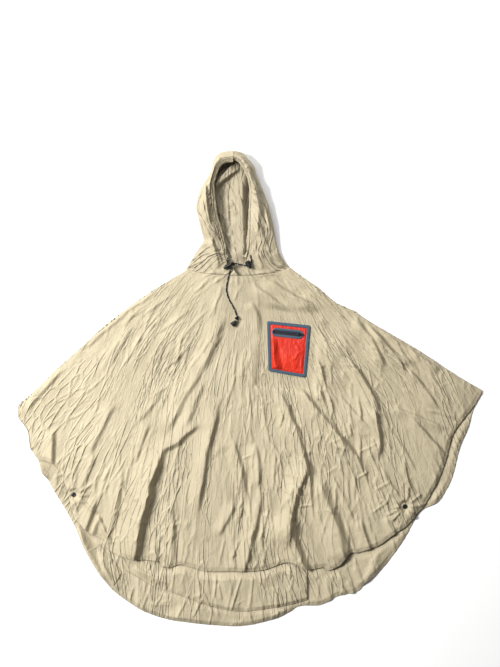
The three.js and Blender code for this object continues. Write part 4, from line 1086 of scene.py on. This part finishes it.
# %% [markdown]
# The hood lies open with its face opening upward. Each half starts at the centre-back seam on the surface,
# runs out to the outline, folds over there and comes back to the face edge. So each half is a grid of
# sections, one for each place between neck and crown, with the same numbers as the CAD model. Its creases
# are tables again: one for the outside that shows, one for the inside seen through the opening.

# %% Shape of the hood
HOOD = {
    "left": {
        "side": -1,
        "seam": [(-37.3, 376.4), (-37.3, 400), (-47.3, 437), (-59.3, 468), (-63.3, 555), (-66.3, 600),
                 (-60.3, 670), (-51.3, 708)],
        "rim": [(-197, 375), (-158, 436), (-144, 458), (-151, 490), (-159, 531), (-165, 556), (-160, 590),
                (-150, 622), (-134, 650), (-121, 676), (-114, 706), (-98, 726), (-76, 732), (-51.3, 734)],
        "edge": [(-29, 351), (-45, 371), (-60, 388), (-74, 398), (-87, 444), (-102, 495), (-114, 535),
                 (-120, 594), (-121, 638), (-113, 663), (-102, 688), (-82, 708), (-51.3, 713)],
    },
    "right": {
        "side": 1,
        "seam": [(-36.7, 376.4), (-36.7, 400), (-46.7, 437), (-58.7, 468), (-62.7, 555), (-65.7, 600),
                 (-59.7, 670), (-50.7, 708)],
        "rim": [(123, 377), (99, 405), (83, 440), (76, 485), (67, 529), (56, 571), (42, 605), (23, 653),
                (12, 688), (-4, 709), (-20, 725), (-36, 732), (-50.7, 734)],
        "edge": [(-27, 351), (-18, 378), (-9, 402), (-2, 436), (1, 475), (2, 535), (4, 600), (1, 636),
                 (-6, 660), (-20, 688), (-35, 706), (-50.7, 713)],
    },
}
HOOD_SECTIONS = np.array([
    # s, side, edge, turn, bulge
    (0.00, 3.5, 10.5, 1.75, 0), (0.06, 8, 12, 4, 2), (0.15, 16, 15, 8, 4), (0.35, 28, 30, 12, 7),
    (0.60, 34, 40, 13, 8), (0.80, 38, 44, 12, 6), (1.00, 44, 48, 10, 0),
])
HOOD_OUTSIDE_FOLDS = [
    (-135, 645, -118, 495, -6, 12, 9, 0.45), (-147, 585, -129, 508, 0, 9, 5, 0.4),
    (-160, 532, -95, 472, -4, 8, 5, 0.3), (-152, 512, -104, 450, 0, 8, 4.5, 0.3),
    (-128, 464, -96, 370, 6, 14, 8, 0.4), (-106, 442, -84, 384, 0, 9, 5, 0.4),
    (-158, 420, -148, 370, 0, 7, 3, 0.3), (-134, 386, -106, 352, 0, 7, 3, 0.3),
    (-142, 660, -132, 596, 0, 8, 3.5, 0.3), (-120, 702, -96, 726, 0, 7, 3, 0.3),
    (16, 650, 38, 518, -5, 12, 8, 0.4), (26, 690, 12, 600, 0, 8, 4, 0.4),
    (4, 545, 36, 434, 6, 9, 5, 0.3), (8, 446, 46, 402, 0, 8, 4, 0.3),
    (50, 604, 62, 478, 0, 9, 4, 0.3), (68, 424, 112, 378, 0, 14, 5, 0.3),
    (20, 424, 42, 368, 0, 8, 4, 0.3), (-150, 600, -138, 540, 0, 9, 4, 0.4),
    (-118, 470, -104, 420, 0, 9, 5, 0.4), (-176, 400, -168, 372, 0, 8, 3, 0.3),
    (30, 500, 44, 446, 3, 8, 4, 0.4), (54, 560, 66, 500, 0, 9, 5, 0.4), (2, 500, 30, 470, 0, 7, 4, 0.3),
    (6, 700, 30, 660, 0, 8, 4, 0.3), (76, 522, 88, 428, 0, 8, 3.5, 0.3), (24, 560, 20, 470, 3, 8, 4, 0.3),
    (44, 470, 70, 392, 0, 8, 3.5, 0.3),
]
HOOD_INSIDE_FOLDS = [
    (-122, 606, -24, 686, 6, 22, 15, -0.55), (-112, 628, -46, 700, 2, 8, 6, 0.5),
    (-71, 604, -60, 500, -2, 6, 4, 0.3),
    (-60, 508, -48, 438, 0, 6, 4, 0.3), (-50, 448, -31, 394, 0, 6, 3.5, 0.3),
    (-23, 700, -14, 345, -5, 30, 20, 0.25), (-76, 642, -42, 595, 0, 6, 4, 0.3),
    (-64, 594, -36, 534, 0, 11, 7, 0.5), (-98, 550, -66, 524, 0, 6, 4, 0.2),
    (-90, 604, -70, 556, 0, 6, 3, 0.2), (-92, 502, -60, 468, 0, 6, 3, 0.2),
    (-50, 522, -64, 462, 0, 6, 3.5, 0.3), (-46, 562, -30, 478, 0, 7, 4, 0.3),
    (-102, 600, -72, 424, 0, 9, 5, 0.3), (-44, 640, -24, 560, 0, 8, 4, 0.4),
    (-66, 440, -44, 396, 0, 6, 3, 0.3),
]
HOOD_GRID = {"along": 176, "floor": 30, "fold": 14, "side": 36}
HOOD_HEIGHT = 350
HOOD_FOLD_SHARE = 1.2


def hood_grid(half, inset=0.5 * WALL):
    """Points of one hood half, its plan in the cloth, and which part of the section each point is on."""
    s = np.linspace(0, 1, HOOD_GRID["along"])
    at, *columns = HOOD_SECTIONS.T
    side, edge_height, turn, bulge = (np.interp(s, at, column)[:, None] for column in columns)
    seam, rim, edge = (at_share(smooth_path(half[part], 1), s) for part in ("seam", "rim", "edge"))
    outward = rim - seam
    outward /= np.linalg.norm(outward, axis=1)[:, None]
    centre = rim - outward * turn
    floor = np.linspace(0, 1, HOOD_GRID["floor"])
    fold = np.linspace(0, 1, HOOD_GRID["fold"] + 1)[1:] - 0.5
    over = np.linspace(0, 1, HOOD_GRID["side"] + 1)[1:]
    flat = seam[:, None] + (centre - seam)[:, None] * floor[None, :, None]
    bend = (turn - inset) * np.cos(math.pi * fold)[None, :]
    round_ = centre[:, None] + outward[:, None] * bend[:, :, None]
    back = centre[:, None] + (edge - centre)[:, None] * over[None, :, None]
    round_z = side / 2 + (side / 2 - inset) * np.sin(math.pi * fold)[None, :]
    free = side + (edge_height - side) * over + bulge * np.sin(math.pi * over)
    at_seam = (1 - smooth(0, 0.12, s))[:, None]
    seam_y = np.interp(back[..., 0], *smooth_path(NECK_SEAM, 4).T) + 2 * GAP
    pull = at_seam * np.where(s[:, None] == 0, 1, smooth(0, 0.3, over)[None, :])
    back[..., 1] += (seam_y - back[..., 1]) * pull
    on_front = front_form(back[..., 0].ravel(), seam_y.ravel()).reshape(free.shape) + 0.6
    back_z = free + (on_front - free) * at_seam - inset
    xy = np.concatenate([flat, round_, back], axis=1)
    z = np.concatenate([np.full(flat.shape[:2], inset), round_z, back_z], axis=1)
    part = np.concatenate([np.zeros(len(floor)), np.ones(len(fold)), np.full(len(over), 2)])
    return xy, z, part, outward, s


print("hood folds, outside and inside:", len(HOOD_OUTSIDE_FOLDS), len(HOOD_INSIDE_FOLDS))

# %% Hood halves
HOOD_FIELD = ((-300, -100), (700, 600))


def make_hood(name):
    half = HOOD[name]
    seed = 100 if name == "left" else 140
    xy, z, part, outward, s = hood_grid(half)
    x, y = xy[..., 0], xy[..., 1]
    steps = np.linalg.norm(np.diff(np.dstack([xy, z]), axis=1), axis=2)
    around = np.concatenate([np.zeros((len(s), 1)), np.cumsum(steps, axis=1)], axis=1)
    along = np.broadcast_to(s[:, None] * HOOD_HEIGHT, x.shape)
    facets = crumple(around + 6 * drift(x, y, 60, seed), along / 2.0, 24, seed, HOOD_FIELD) * 3.2
    facets = facets + crumple(around, along / 1.6, 10, seed + 1, HOOD_FIELD) * 1.7
    over, under = (
        fold_height(table, x.ravel(), y.ravel(), 0.7).reshape(x.shape) * HOOD_FOLD_SHARE
        for table in (HOOD_OUTSIDE_FOLDS + NECK_PUCKERS, HOOD_INSIDE_FOLDS)
    )
    awake = smooth(0, 0.05, s)[:, None]
    over = facets * (0.25 + 0.75 * awake) + over * (0.4 + 0.6 * awake)
    under = (facets + under) * smooth(0.03, 0.16, s)[:, None]
    up = np.where(part == 0, under, np.where(part == 2, over, 0.4 * facets))
    out = np.where(part == 1, facets - 1.4, 0) * smooth(0.02, 0.1, s)[:, None]
    x = x + outward[:, :1] * out
    y = y + outward[:, 1:] * out
    points = np.dstack([x, y, z + up]).reshape(-1, 3)
    faces = grid_faces(*z.shape)
    if half["side"] > 0:
        faces = turned(faces)
    plan = np.dstack([around, along]).reshape(-1, 2)
    # Painted shade: the hood's outside takes a darker copy of the shell's nylon, its inside the darkest one.
    piece = mesh_piece(f"hood_{name}_cloth", points, faces, HOOD_SHADED_NYLON, plan)
    piece.data.materials.append(HOOD_INSIDE_SHADED_NYLON)
    last_inside = HOOD_GRID["floor"] - 2
    slots = [int(face.vertices[0] % x.shape[1] < last_inside) for face in piece.data.polygons]
    piece.data.polygons.foreach_set("material_index", slots)
    return piece


hood_left = dress(make_hood("left"), "shell_fabric", "hood_left")
hood_right = dress(make_hood("right"), "shell_fabric", "hood_right")

# %% [markdown]
# The channel of the drawcord is a flat tube of cloth round the face opening, hanging from its edge. The
# cord gathers it, so its rings swell and narrow at uneven places.

# %% Channels of the drawcord
CASING_START = 0.15
CASING = {"width": 18, "thickness": 3.6, "tilt_throat": 0.1, "tilt_face": {"left": 0.6, "right": 1.2},
          "sides": 24}


def make_casing(name):
    half = HOOD[name]
    s = np.linspace(CASING_START, 1, 190)
    path = smooth_path(half["edge"], 1)
    edge = at_share(path, s)
    inward = at_share(sideways(path), s) * half["side"]
    inward /= np.linalg.norm(inward, axis=1)[:, None]
    inward[-1] = (0, -1)
    height = np.interp(s, HOOD_SECTIONS[:, 0], HOOD_SECTIONS[:, 2])
    share = smooth(0, 0.3, (s - CASING_START) / (1 - CASING_START))
    tilt = (CASING["tilt_throat"] + (CASING["tilt_face"][name] - CASING["tilt_throat"]) * share)[:, None]
    across = np.hstack([inward * np.cos(tilt), -np.sin(tilt)])
    through = np.hstack([inward * np.sin(tilt), np.cos(tilt)])
    middle = np.column_stack([edge, height - WALL / 2]) + across * CASING["width"] / 2
    middle[:, :2] += inward * 2 * GAP
    angle = np.linspace(0, 2 * math.pi, CASING["sides"], endpoint=False)
    reach = np.broadcast_to((s * path_length(path))[:, None], (len(s), len(angle)))
    turn = np.broadcast_to(angle[None, :], reach.shape)
    seed = 200 if name == "left" else 210
    gather = 1.3 * drift(reach, 2.2 * turn, 6.5, seed) + 0.8 * drift(reach, turn, 15, seed + 1)
    wide = CASING["width"] / 2 - 0.6 + 0.5 * gather
    groove = bump((np.cos(turn) + 0.05) / 0.5)
    thick = (CASING["thickness"] / 2 + np.abs(np.sin(turn)) * (1.2 + gather)) * (1 - 0.75 * groove)
    rings = (middle[:, None] + (wide * np.cos(turn))[..., None] * across[:, None]
             + (thick * np.sin(turn))[..., None] * through[:, None])
    faces = tube_faces(len(s), len(angle))
    if half["side"] > 0:
        faces = turned(faces)
    plan = np.dstack([9 * turn, reach]).reshape(-1, 2)
    # Painted shade: the channel takes the hood's darker copy of the nylon.
    return mesh_piece(f"hood_casing_{name}_cloth", rings.reshape(-1, 3), faces, HOOD_SHADED_NYLON, plan)


casing_left = dress(make_casing("left"), "shell_fabric", "hood_casing_left")
casing_right = dress(make_casing("right"), "shell_fabric", "hood_casing_right")

# %% [markdown]
# The chest pocket: a red panel, a band of blue tape bonded round its edge, and a blue window of tape round
# the zip. All are a little out of square, as they lie in the photograph.

# %% Chest pocket
POCKET_CORNERS = np.array([(53, 210), (186, 196), (172, 36), (58, 56)], float)
POCKET_WIDTH, POCKET_HEIGHT, POCKET_BORDER, POCKET_RISE, POCKET_WALL = 124, 157, 8.5, 1.5, 1.2
ZIP = {"place": (116, 172.5), "turn": math.radians(-6.2), "slot": (90, 13), "window": (97, 27),
       "tape": (93, 20)}
POCKET_STEP = 2.0
POCKET_FOLDS = [
    (60, 168, 88, 22, 0, 17, 13, -0.3), (133, 150, 155, 118, 0, 7, 2.0, 0.3),
    (155, 118, 133, 86, 0, 7, 1.8, 0.3), (161, 108, 158, 62, 0, 5, 1.2, 0.2),
    (108, 150, 118, 62, -4, 16, 1.2, 0.2), (84, 150, 74, 104, 0, 7, 1.4, 0.3),
    (150, 150, 166, 130, 0, 6, 1.4, 0.3), (120, 96, 150, 64, 0, 7, 1.6, 0.3),
]


def pocket_point(a, b):
    tl, tr, br, bl = POCKET_CORNERS
    a, b = np.asarray(a, float)[..., None], np.asarray(b, float)[..., None]
    return (tl + (tr - tl) * a) * (1 - b) + (bl + (br - bl) * a) * b


def pocket_place(x, y):
    """Shares across and down the pocket of plan points."""
    a, b = np.full(len(x), 0.5), np.full(len(x), 0.5)
    for _ in range(8):
        left, right = pocket_point(0, b), pocket_point(1, b)
        a = (x - left[:, 0]) / (right[:, 0] - left[:, 0])
        top, bottom = pocket_point(a, 0), pocket_point(a, 1)
        b = (y - top[:, 1]) / (bottom[:, 1] - top[:, 1])
    return a, b


def rounded_pocket(inset, radius, step=POCKET_STEP):
    """Counterclockwise outline of the pocket, moved in by inset, with rounded corners."""
    a, b = inset / POCKET_WIDTH, inset / POCKET_HEIGHT
    corners = [pocket_point(*p) for p in ((a, b), (a, 1 - b), (1 - a, 1 - b), (1 - a, b))]
    loop = []
    for i, corner in enumerate(corners):
        before, after = (corners[(i + d) % 4] - corner for d in (-1, 1))
        start, end = (corner + radius * v / np.linalg.norm(v) for v in (before, after))
        k = np.linspace(0, 1, 6)[:, None]
        loop.append((1 - k)**2 * start + 2 * k * (1 - k) * corner + k**2 * end)
    loop = np.vstack([*loop, loop[0][:1]])
    count = round(path_length(loop) / step)
    return at_share(loop, np.arange(count) / count)


def stadium(length, width, step=POCKET_STEP):
    """Counterclockwise long hole with round ends, at the zip's place."""
    straight = (length - width) / 2
    angle = np.linspace(-math.pi / 2, math.pi / 2, 14)
    right = np.column_stack([straight + width / 2 * np.cos(angle), width / 2 * np.sin(angle)])
    loop = np.vstack([right, -right, right[:1]])
    count = round(path_length(loop) / step)
    return zip_place(at_share(loop, np.arange(count) / count))


def zip_place(flat):
    """Plan points given along and across the zip."""
    c, s = math.cos(ZIP["turn"]), math.sin(ZIP["turn"])
    return np.asarray(flat) @ np.array([[c, s], [-s, c]]) + ZIP["place"]


def make_pocket_panel():
    slot = stadium(*ZIP["slot"])
    plan, triangles = filled([rounded_pocket(0.5, 3), slot], POCKET_STEP)
    x, y = plan.T
    a, b = pocket_place(x, y)
    from_edge = np.minimum(np.minimum(a, 1 - a) * POCKET_WIDTH, np.minimum(b, 1 - b) * POCKET_HEIGHT)
    from_zip, _ = nearest(stadium(*ZIP["window"]), x, y)
    in_window = inside(stadium(*ZIP["window"]), x, y)
    free = smooth(9.5, 16, from_edge) * np.where(in_window, 0, smooth(1, 8, from_zip))
    rise = smooth(POCKET_BORDER + 0.8, POCKET_BORDER + 4.2, from_edge) * (
        POCKET_RISE + 4 * bump((a - 0.55) / 0.42) * bump((b - 0.68) / 0.26))
    facets = crumple(x, y / 1.6, 26, 301, ((0, 0), (250, 150))) * 0.6
    facets = facets + crumple(x, y, 11, 302, ((0, 0), (250, 250))) * 0.2
    creased = free * (facets + fold_height(POCKET_FOLDS, x, y, 0.7))
    height = FRONT_TOP + GAP + 0.7 * POCKET_WALL + rise + creased
    return sheet_piece("pocket_panel_cloth", plan, triangles, height, POCKET_RED, plan, drop=0.6, tuck=1.2)


def make_tape(name, loops, top, ripple, seed):
    plan, triangles = filled(loops, POCKET_STEP)
    x, y = plan.T
    height = top - ripple + ripple * drift(x, y, 12, seed)
    return sheet_piece(name, plan, triangles, height, TAPE_BLUE, plan, drop=0.7, tuck=0.35)


BORDER_TOP = FRONT_TOP + GAP + POCKET_WALL + GAP + 1.0
WINDOW_TOP = FRONT_TOP + 2 * GAP + POCKET_RISE + POCKET_WALL + 1.0
pocket_panel = dress(make_pocket_panel(), "pocket_fabric", "pocket_panel")
border_loops = [rounded_pocket(-1, 9), rounded_pocket(POCKET_BORDER, 4)]
pocket_border = dress(make_tape("pocket_border_tape", border_loops, BORDER_TOP, 0.1, 311), "edge_tape",
                      "pocket_border")
window_loops = [stadium(*ZIP["window"]), stadium(*ZIP["slot"])]
zip_window = dress(make_tape("zip_window_band", window_loops, WINDOW_TOP, 0.06, 312), "edge_tape",
                   "zip_window_tape")

# %% [markdown]
# Behind the slot of the pocket lies the zip: a strip of black tape in two halves, with the coil along its
# middle. The tape is a sheet like the others, a little raised where the coil is sewn to it.

# %% Zip tape
ZIP_TAPE_TOP = 4.8
CHAIN_WIDTH = 5.0
ZIP_TAPE_GRID = (63, 21)


def make_zip_tape():
    length, width = ZIP["tape"]
    rows, columns = ZIP_TAPE_GRID
    along, across = np.linspace(-length / 2, length / 2, rows), np.linspace(-width / 2, width / 2, columns)
    u, v = (a.ravel() for a in np.meshgrid(along, across, indexing="ij"))
    ends = smooth(length / 2, length / 2 - 4, np.abs(u))
    halves = 0.35 * bump(v / 0.7) * ends
    height = ZIP_TAPE_TOP - 0.35 + 0.3 * bump(v / CHAIN_WIDTH) * ends - halves + 0.05 * drift(u, v, 6, 321)
    flat = np.column_stack([u, v])
    points = np.column_stack([zip_place(flat), height])
    return mesh_piece("zip_tape_cloth", points, grid_faces(rows, columns), ZIP_BLACK, flat)


zip_tape = dress(make_zip_tape(), "zip_tape", "zip_tape")

# %% [markdown]
# Sewing and the coil of the zip are many small like pieces, so one Geometry Nodes tree makes them all. It
# cuts a line into steps, sets one short length of thread on each step, turned along the line or across
# it, and makes the copies real. Its inputs are the real ones: stitch pitch, stitch length and thread.

# %% Stitches and coil
STITCH = {"pitch": 3.6, "length": 2.9, "radius": 0.32}
COIL = {"pitch": 1.4, "length": 2.9, "radius": 0.42, "gap": 1.25}
ZIP_SLIDER_START = 28.0


def stitch_tree():
    tree = bpy.data.node_groups.new("thread_along_line", "GeometryNodeTree")
    tree.interface.new_socket("Line", in_out="INPUT", socket_type="NodeSocketGeometry")
    for label, value in {"Pitch": 0.0036, "Stitch length": 0.0029, "Thread radius": 0.0003, "Turn": 0.0,
                         "Unevenness": 0.06}.items():
        tree.interface.new_socket(label, in_out="INPUT", socket_type="NodeSocketFloat").default_value = value
    tree.interface.new_socket("Thread", in_out="INPUT", socket_type="NodeSocketMaterial")
    tree.interface.new_socket("Stitches", in_out="OUTPUT", socket_type="NodeSocketGeometry")
    ins, outs = tree.nodes.new("NodeGroupInput"), tree.nodes.new("NodeGroupOutput")
    curve = add_node(tree, "GeometryNodeMeshToCurve", {"Mesh": ins.outputs["Line"]})
    steps = add_node(tree, "GeometryNodeResampleCurve", {
        "Curve": curve.outputs[0], "Length": ins.outputs["Pitch"]}, mode="LENGTH")
    tangent = add_node(tree, "GeometryNodeInputTangent")
    sway = maths(tree, "MULTIPLY", ins.outputs["Unevenness"], -1.0)
    chance = add_node(tree, "FunctionNodeRandomValue", data_type="FLOAT")
    tree.links.new(sway, chance.inputs[2])
    tree.links.new(ins.outputs["Unevenness"], chance.inputs[3])
    chance.inputs["Seed"].default_value = 7
    angle = maths(tree, "ADD", ins.outputs["Turn"], chance.outputs[1])
    heading = add_node(tree, "ShaderNodeVectorRotate", {"Vector": tangent.outputs[0], "Angle": angle},
                       rotation_type="Z_AXIS")
    facing = add_node(tree, "FunctionNodeAlignRotationToVector", {"Vector": heading.outputs[0]}, axis="X")
    thread = add_node(tree, "GeometryNodeMeshUVSphere", {"Segments": 6, "Rings": 4, "Radius": 1.0})
    half = maths(tree, "MULTIPLY", ins.outputs["Stitch length"], 0.5)
    size = add_node(tree, "ShaderNodeCombineXYZ", {"X": half, "Y": ins.outputs["Thread radius"],
                                                   "Z": ins.outputs["Thread radius"]})
    placed = add_node(tree, "GeometryNodeInstanceOnPoints", {
        "Points": steps.outputs[0], "Instance": thread.outputs[0], "Rotation": facing.outputs[0],
        "Scale": size.outputs[0]})
    real = add_node(tree, "GeometryNodeRealizeInstances", {"Geometry": placed.outputs[0]})
    finish = add_node(tree, "GeometryNodeSetMaterial", {"Geometry": real.outputs[0],
                                                        "Material": ins.outputs["Thread"]})
    tree.links.new(finish.outputs[0], outs.inputs["Stitches"])
    return tree


def sewn(name, lines, thread, slot, pitch=STITCH["pitch"], length=STITCH["length"], radius=STITCH["radius"],
         turn=0.0):
    """A plain mesh of thread along the given lines, made by the tree and then cut loose from it."""
    points = np.vstack(lines) * MM
    edges, start = [], 0
    for line in lines:
        edges += [(start + i, start + i + 1) for i in range(len(line) - 1)]
        start += len(line)
    guide_mesh = bpy.data.meshes.new(name + "_guide")
    guide_mesh.from_pydata(points.tolist(), edges, [])
    guide = bpy.data.objects.new(name + "_guide", guide_mesh)
    bpy.context.collection.objects.link(guide)
    modifier = guide.modifiers.new("thread", "NODES")
    modifier.node_group = THREAD_TREE
    values = {"Pitch": pitch * MM, "Stitch length": length * MM, "Thread radius": radius * MM, "Turn": turn,
              "Thread": thread}
    for item in THREAD_TREE.interface.items_tree:
        if item.in_out == "INPUT" and item.name in values:
            modifier[item.identifier] = values[item.name]
    ready = guide.evaluated_get(bpy.context.evaluated_depsgraph_get())
    mesh = bpy.data.meshes.new_from_object(ready)
    mesh.name = name
    for polygon in mesh.polygons:
        polygon.use_smooth = True
    bpy.data.objects.remove(guide)
    bpy.data.meshes.remove(guide_mesh)
    piece = bpy.data.objects.new(name, mesh)
    bpy.context.collection.objects.link(piece)
    return dress(piece, slot)


def lying_on(piece, path, lift=0.15):
    """A plan path laid on top of a finished piece."""
    corners = [vertex.co for vertex in piece.data.vertices]
    tree = BVHTree.FromPolygons(corners, [polygon.vertices for polygon in piece.data.polygons])
    places = np.asarray(path)[:, :2].tolist()
    hits = [tree.ray_cast(Vector((x * MM, y * MM, 0.2)), DOWN)[0] for x, y in places]
    return np.array([(hit.x / MM, hit.y / MM, hit.z / MM + lift) for hit in hits if hit])


def inset(path, depth):
    """A plan path moved to its left, with the knots of tight bends left out."""
    moved = path + sideways(path) * depth
    distance, _ = nearest(path, moved[:, 0], moved[:, 1])
    return moved[distance > 0.93 * abs(depth)]


def ring(loop):
    return np.vstack([loop, loop[:1]])


THREAD_TREE = stitch_tree()
print("inputs of the thread tree:", [item.name for item in THREAD_TREE.interface.items_tree])

# %% [markdown]
# Where the sewing runs. The hems are turned and sewn 12 mm from the edge, the neck seam is topstitched,
# the facings have a line along their inner edge, the stow pocket two along its right edge and one along its
# outer edge, and the blue tape a line on both sides of the pocket's border and one round the zip's window.

# %% Sewing lines
HEM_ALLOWANCE = 12.0
COIL_TOP = 4.95
neck_line = smooth_path(NECK_SEAM, 3)
band_inner, side_inner = (smooth_path(strip["inner"], 3) for strip in (FACING_BAND, FACING_SIDE))
pocket_right = smooth_path([(176, -556), (180, -600), (177, -653)], 3)
front_sewing = sewn("front_stitches", [
    lying_on(front_cloth, inset(front_hem, HEM_ALLOWANCE)),
    lying_on(front_cloth, inset(neck_line[4:-4], -4.5)),
], THREAD, "shell_fabric")
back_line = lying_on(back_cloth, inset(back_hem, HEM_ALLOWANCE))
back_sewing = sewn("back_stitches", [back_line], THREAD, "shell_fabric")
facing_sewing = sewn("facing_stitches", [
    lying_on(facing_band, inset(band_inner[3:-3], -2.5)),
    lying_on(facing_side, inset(side_inner[3:-3], -2.5)),
], THREAD, "shell_fabric")
stow_sewing = sewn("stow_pocket_stitches", [
    lying_on(stow_pocket, inset(pocket_right[12:-2], -3.5)),
    lying_on(stow_pocket, inset(pocket_right[12:-2], -9)),
    lying_on(stow_pocket, inset(smooth_path(STOW_POCKET["outer"], 3)[3:-3], 3)),
], THREAD, "shell_fabric")
pocket_sewing = sewn("pocket_stitches", [
    lying_on(pocket_border, ring(rounded_pocket(1.2, 7))),
    lying_on(pocket_border, ring(rounded_pocket(6.6, 5))),
    lying_on(zip_window, ring(stadium(93.5, 23.5))),
], BLUE_THREAD, "edge_tape", radius=0.25)
along_zip = np.linspace(-43, ZIP_SLIDER_START, 80)
coil_lines = []
for side in (-1, 1):
    flat_line = np.column_stack([along_zip, np.full(80, side * COIL["gap"])])
    coil_lines.append(np.column_stack([zip_place(flat_line), np.full(80, COIL_TOP)]))
coil = sewn("zip_coil", coil_lines, ZIP_BLACK, "zip_tape", COIL["pitch"], COIL["length"], COIL["radius"],
            math.pi / 2)

# %% [markdown]
# The hard pieces keep the CAD model's own shapes and only get their finishes: painted metal for the
# slider and its tab, moulded plastic for the snaps, the cord locks and the cord's end.

# %% Finishes of the hard pieces
CARRIED = {
    "zip_slider": ZIP_METAL, "zip_pull_tab": ZIP_METAL, "snap_cap_left": PLASTIC, "snap_cap_right": PLASTIC,
    "snap_socket_left": PLASTIC, "snap_socket_right": PLASTIC, "cord_lock_left": PLASTIC,
    "cord_lock_right": PLASTIC, "cord_lock_button_left": PLASTIC, "cord_lock_button_right": PLASTIC,
    "cord_end": PLASTIC,
}
for name, finish in CARRIED.items():
    for place in nodes[name].material_slots:
        place.link = "OBJECT"
        place.material = finish
print("CAD pieces with a new finish:", len(CARRIED))

# %% [markdown]
# The cuts are the ones that the report gives: what shows of a panel, laid flat, with its folds smoothed
# out.


# %% [markdown]
# The set: a plain white surface, one large soft lamp from the left, as in the photograph, a weaker one
# behind the hood, and a pale sky that fills the shadows. The folds show because the main lamp stands low
# and to one side.

# %% Floor and light
FLOOR_SIZE = 8.0
LAMPS = {
    "key": {"place": (-2.66, 0.76, 2.6), "aim": (0, 0.3, 0), "size": 1.0, "power": 250.0},
    "fill": {"place": (-0.5, 2.3, 2.0), "aim": (0, 0.4, 0), "size": 2.2, "power": 61.0},
}
SKY_STRENGTH = 0.135


def add_floor():
    half = FLOOR_SIZE / 2
    corners = [(-half, -half, 0), (half, -half, 0), (half, half, 0), (-half, half, 0)]
    mesh = bpy.data.meshes.new("floor")
    mesh.from_pydata(corners, [], [(0, 1, 2, 3)])
    mesh.materials.append(plain_finish("white_surface", (0.96, 0.96, 0.96), (0.94, 0.94, 0.94), 3.0, 0.0,
                                       roughness=0.9))
    floor = bpy.data.objects.new("floor", mesh)
    bpy.context.collection.objects.link(floor)
    return floor


def add_lamp(name, place, aim, size, power):
    data = bpy.data.lights.new(name, "AREA")
    data.size = size
    data.energy = power
    lamp = bpy.data.objects.new(name, data)
    lamp.location = place
    lamp.rotation_euler = (Vector(aim) - Vector(place)).to_track_quat("-Z", "Y").to_euler()
    bpy.context.collection.objects.link(lamp)


def add_sky():
    sky = bpy.data.worlds.new("sky")
    sky.use_nodes = True
    background = sky.node_tree.nodes["Background"]
    background.inputs["Color"].default_value = (1.0, 0.985, 0.96, 1)
    background.inputs["Strength"].default_value = SKY_STRENGTH
    bpy.context.scene.world = sky


add_floor()
for name, lamp in LAMPS.items():
    add_lamp(name, **lamp)
add_sky()
view = bpy.context.scene.view_settings
view.view_transform = "Standard"
view.look = "None"
print("lamps:", ", ".join(LAMPS))
